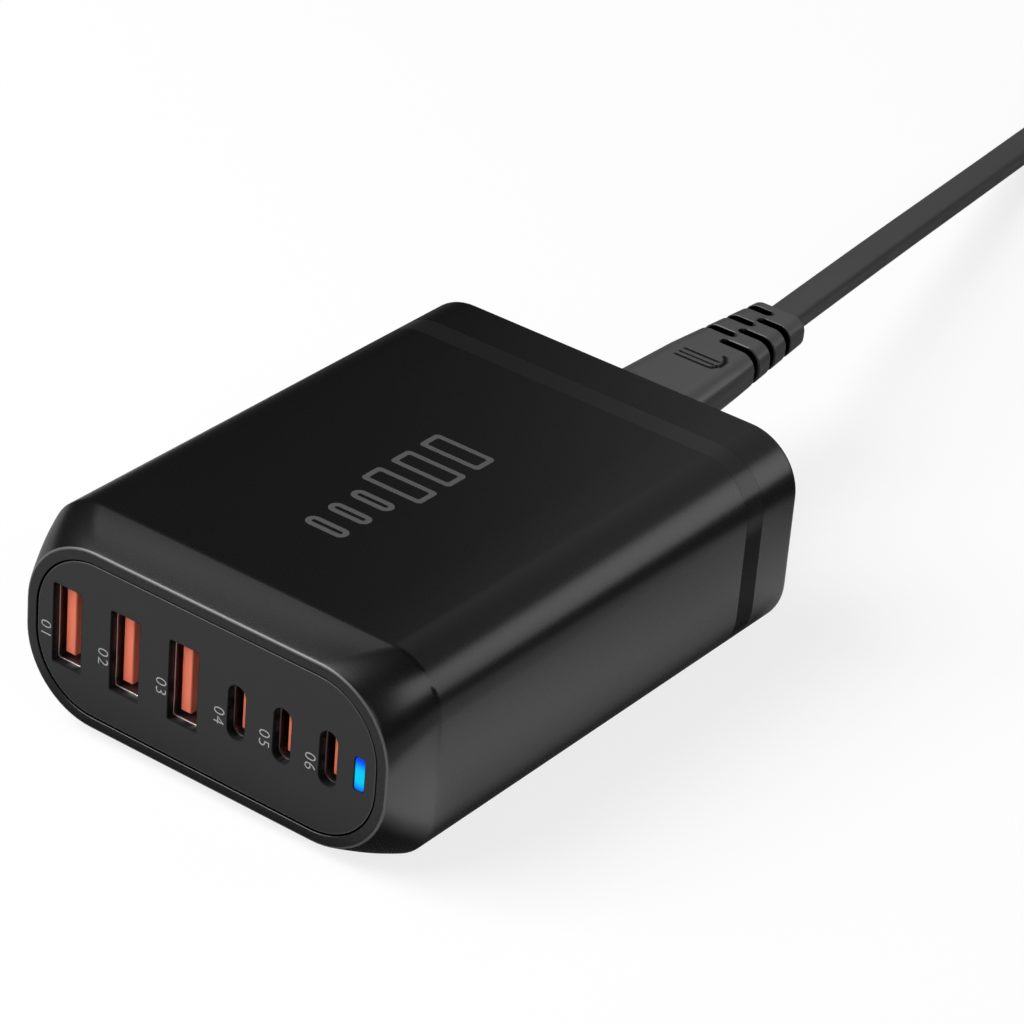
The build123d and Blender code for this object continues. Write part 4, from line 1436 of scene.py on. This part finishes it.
@dataclass
class WidePort:
    """Wide port: plated shell, and a tongue that stands off the middle on its base block.

    The inner lip's rows stand out from the shell's inner wall and lie behind its front, in radii of the lip.
    """

    number: int
    kind: str = "wide"
    node_kind: str = "usb_a"
    shell_corner: float = 0.6 * MM
    shell_wall: float = 0.3 * MM
    shell_lip: float = 0.1 * MM
    inner_lip: tuple[Pair, ...] = ((1.0, 0.0), (0.3, 0.3), (0.0, 0.8), (0.0, 1.3))
    # Painted light: a painted highlight on the inner lip, and painted shade inside that deepens inwards.
    lip_painted_light: float = -0.9
    inside_painted_shade: Pair = (0.2, 0.65)
    base_corner: float = 0.3 * MM
    base_depth: float = 3.4 * MM
    tongue_size: Pair = (1.84 * MM, 11.1 * MM)
    tongue_aside: float = 0.98 * MM
    tongue_corner: float = 0.12 * MM
    tongue_edge: float = 0.28 * MM

    def build(self) -> None:
        """Build the shell and the tongue."""
        self.build_shell()
        self.build_tongue()

    def build_shell(self) -> bpy.types.Object:
        """Folded metal shell as a closed stack: outer wall, rounded lip with painted light, and inner wall
        with painted shade that deepens inwards.

        Returns:
            The shell.
        """
        node = f"{self.node_kind}_shell_{self.number}"
        front, back = node_depths(node)
        outer = node_section(node, self.shell_corner)
        inner = outer.inset(self.shell_wall, front)
        outside = [outer.at(back), *edge_round(outer, self.shell_lip, towards=-1, steps=3)]
        radius = self.shell_lip
        lip = [inner.inset(-out * radius, front + deep * radius) for out, deep in self.inner_lip]
        relief = [0.0] * len(outside) + [self.lip_painted_light] * (len(lip) - 1) + [*self.inside_painted_shade]
        sections = [*outside, *lip, inner.at(back)]
        surface = Surface().stack(sections, Detail.MIDDLE, closed=True, relief=relief)
        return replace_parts(surface.piece(f"{self.kind}_shell_{self.number}", STEEL, "port_steel"), node)

    def build_tongue(self) -> bpy.types.Object:
        """Tongue with a rounded front, and its base block, as one stack.

        Returns:
            The tongue.
        """
        node = f"{self.node_kind}_tongue_{self.number}"
        front, back = node_depths(node)
        base = node_section(node, self.base_corner)
        tongue = Section(*self.tongue_size, self.tongue_corner, front, base.x - self.tongue_aside, base.z)
        sections = [base.at(back), base.at(back - self.base_depth), tongue.at(back - self.base_depth)]
        sections += edge_round(tongue, self.tongue_edge, towards=-1)
        surface = Surface().solid(sections)
        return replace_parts(surface.piece(f"{self.kind}_tongue_{self.number}", ORANGE, "tongue_orange"), node)


@dataclass
class SmallPort(WidePort):
    """Small port: made as the wide one, with round ends and a thin tongue in its middle."""

    kind: str = "small"
    node_kind: str = "usb_c"
    shell_corner: float = ROUND_ENDS
    # The small port's lip takes painted shade, not a painted highlight.
    lip_painted_light: float = 0.4
    base_corner: float = ROUND_ENDS
    tongue_size: Pair = (0.7 * MM, 6.7 * MM)
    tongue_aside: float = 0.0
    tongue_corner: float = 0.15 * MM
    tongue_edge: float = 0.15 * MM


@dataclass
class StatusWindow:
    """Lit window in the panel: the light pipe's front, with a softly domed face."""

    size: Point = (1.6 * MM, 5.1 * MM, 0.45 * MM)
    dome: float = 0.06 * MM
    dome_shares: Point = (0.3, 0.6, 0.85)
    dome_taper: float = 0.35
    edge: float = 0.08 * MM
    low_glow: float = 0.25 * MM
    bright: Color = (0.001, 0.66, 1.0)
    deep: Color = (0.001, 0.06, 0.98)

    def build(self) -> bpy.types.Object:
        """Stack from the stem to the face, whose last rings rise by the dome as they close.

        A ring's rise is the dome times one less the square of what is left of its share.

        Returns:
            The window.
        """
        front, back = node_depths("light_pipe")
        pipe = node_section("light_pipe")
        face = Section(*self.size, front, pipe.x, pipe.z)
        sections = [face.at(back), *edge_round(face.at(front + self.dome), self.edge, towards=-1)]
        last = sections[-1]
        for share in self.dome_shares:
            rest = 1 - share
            height = last.height * (1 - self.dome_taper * share)
            y = last.y - self.dome * (1 - rest**2)
            sections.append(Section(last.width * rest, height, last.radius * rest, y, face.x, face.z))
        half = (2 * self.size[0], 1.0, self.size[1] / 2)
        glow = Glow("window_glow", self.bright, self.deep, (face.x, face.y, face.z - self.low_glow), half)
        surface = Surface().solid(sections)
        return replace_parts(surface.piece("status_window", glow, "window_blue", sharp=60), "light_pipe")


@dataclass
class TrimBand:
    """Glossy ring between the sleeve and the rear cap."""

    corner: float = 9.0 * MM
    wall: float = 2.0 * MM
    seam: float = 0.04 * MM
    margin: float = 0.5 * MM
    rows: int = 4

    def build(self) -> bpy.types.Object:
        """Closed stack: outer wall with a fine chamfer at its back seam, and the inner wall.

        Returns:
            The band.
        """
        front, back = node_depths("trim_band")
        outer = node_section("trim_band", self.corner)
        inner = outer.inset(self.wall, back)
        sections = [inner.at(back), outer.inset(self.seam, back), outer.at(back - self.seam)]
        sections += [outer.at(y) for y in np.linspace(back - self.margin, front + self.margin, self.rows)]
        sections += [outer.at(front), inner.at(front)]
        surface = Surface().stack(sections, closed=True)
        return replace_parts(surface.piece("trim", BAND, "band_gloss", sharp=24), "trim_band")


@dataclass
class RearCap:
    """Cap behind the band, with the opening for the mains inlet."""

    corner: float = 9.0 * MM
    length: float = 8.9 * MM
    wall: float = 2.2 * MM
    back_edge: float = 0.8 * MM
    seam_margin: float = 0.5 * MM
    edge_margin: float = 1.2 * MM
    rows: int = 5
    inlet_chamfer: float = 0.15 * MM
    inlet_size: Point = (17.1 * MM, 10.7 * MM, 3.55 * MM)

    def build(self) -> bpy.types.Object:
        """Closed stack from the seam over the rounded back edge and the back face into the inlet's opening.

        Returns:
            The cap.
        """
        _, back = node_depths("rear_cap")
        front = back - self.length
        outer = node_section("rear_cap", self.corner).at(back)
        inlet = node_section("inlet_housing")
        hole = Section(*self.inlet_size, back, inlet.x, inlet.z)
        inner = outer.inset(self.wall, back - self.wall)
        first, last = front + self.seam_margin, back - self.edge_margin
        sections = [outer.at(front), *(outer.at(y) for y in np.linspace(first, last, self.rows))]
        sections += edge_round(outer, self.back_edge, towards=1)
        sections += [hole.inset(-self.inlet_chamfer, back), hole.at(back - self.inlet_chamfer)]
        sections += [hole.at(back - self.wall), inner, inner.at(front)]
        surface = Surface().stack(sections, closed=True, flip=True)
        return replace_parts(surface.piece("cap", HOUSING, "housing_plastic", sharp=24), "rear_cap")


@dataclass
class Print:
    """Plain print: a number beside each port, and a small picture of the port row on top."""

    lift: float = 0.012 * MM
    number_height: float = 2.75 * MM
    number_thin: float = 0.03 * MM
    number_space: float = 1.12
    number_aside: float = 4.0 * MM
    number_drop: float = 1.7 * MM
    small_aside: float = 3.1 * MM
    icon_line: float = 1.5 * MM
    icon_centre: Pair = (0.3 * MM, -6.5 * MM)
    icon_scale: float = 0.62
    icon_grow: float = 1.35
    icon_corner: float = 0.9 * MM
    icon_hole_corner: float = 0.7
    icon_shift: float = 1.2 * MM

    def number_mesh(self, text: str, across: float, up: float, y: float) -> tuple[np.ndarray, Faces]:
        """Flat figures on the panel, turned a quarter clockwise: their tops are to the right.

        Args:
            text: the figures.
            across: X of their middle.
            up: Z of their middle.
            y: depth of the panel's face.

        Returns:
            Points in the frame, and faces towards the front.
        """
        curve = bpy.data.curves.new("figures", "FONT")
        curve.body = text
        curve.size = self.number_height
        curve.offset = -self.number_thin
        curve.space_character = self.number_space
        curve.align_x, curve.align_y = "CENTER", "CENTER"
        flat, faces = read_curve(curve)
        placed = np.column_stack([across + flat[:, 1], np.full(len(flat), y - self.lift), up - flat[:, 0]])
        first, second, third = (placed[[face[corner] for face in faces]] for corner in range(3))
        backwards = np.cross(second - first, third - first)[:, 1] > 0
        return placed, [face[::-1] if turned else face for face, turned in zip(faces, backwards)]

    def build_numbers(self) -> bpy.types.Object:
        """Numbers of the ports.

        Returns:
            The numbers as one piece.
        """
        face, _ = node_depths("front_panel")
        surface = Surface()
        asides = [self.number_aside] * 3 + [self.small_aside] * 3
        for number, (port, aside) in enumerate(zip(FrontPanel().openings(), asides), start=1):
            surface.patch(*self.number_mesh(f"{number:02d}", port.x - aside, port.z - self.number_drop, face))
        return surface.piece("port_numbers", INK, "panel_plastic")

    def build_icon(self) -> bpy.types.Object:
        """Line picture of the port row, on the top: rounded frames as flat rings between two outlines.

        Returns:
            The picture.
        """
        _, high = node_box("main_housing")
        surface = Surface()
        centre_x, centre_y = self.icon_centre
        for port in FrontPanel().openings()[:-1]:
            radius = max(port.radius, self.icon_corner)
            width, height = port.width * self.icon_grow, port.height * self.icon_grow
            outer = flat_section(width, height, radius * self.icon_grow, Detail.MIDDLE)
            hole = (width - 2 * self.icon_line, height - 2 * self.icon_line)
            inner = flat_section(*hole, radius * self.icon_hole_corner, Detail.MIDDLE)
            rings = self.icon_scale * (np.stack([outer, inner]) + (port.x + self.icon_shift, 0.0))
            top = np.full(rings.shape[:2], high[2] + self.lift)
            surface.grid(np.stack([centre_x + rings[..., 1], centre_y - rings[..., 0], top], axis=-1))
        return surface.piece("top_print", INK_DIM, "housing_plastic")

    def build(self) -> None:
        """Build the numbers and the picture."""
        self.build_numbers()
        self.build_icon()


def dress_nodes() -> None:
    """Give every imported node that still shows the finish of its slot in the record."""
    slots = {part["node"]: part["material_slot"] for part in frame["record"]["subparts"]}
    for name, node in frame["nodes"].items():
        node.data.materials.clear()
        node.data.materials.append(SLOT_FINISHES[slots[name]].material())


def main() -> None:
    """Build the studio, the lead, the charger and the print, in that order."""
    logging.basicConfig(level=logging.INFO, format="%(message)s")
    Studio().build()
    dress_nodes()
    on_lead = [LeadConnector().build(), CoilTie().build(), *MainsPlug().build()]
    on_lead += [frame["nodes"]["connector_contacts"]]
    Lead().build(on_lead)
    MainHousing().build()
    FrontPanel().build()
    for number in (1, 2, 3):
        WidePort(number).build()
        SmallPort(number).build()
    StatusWindow().build()
    TrimBand().build()
    RearCap().build()
    Print().build()


if __name__ == "__main__":
    main()
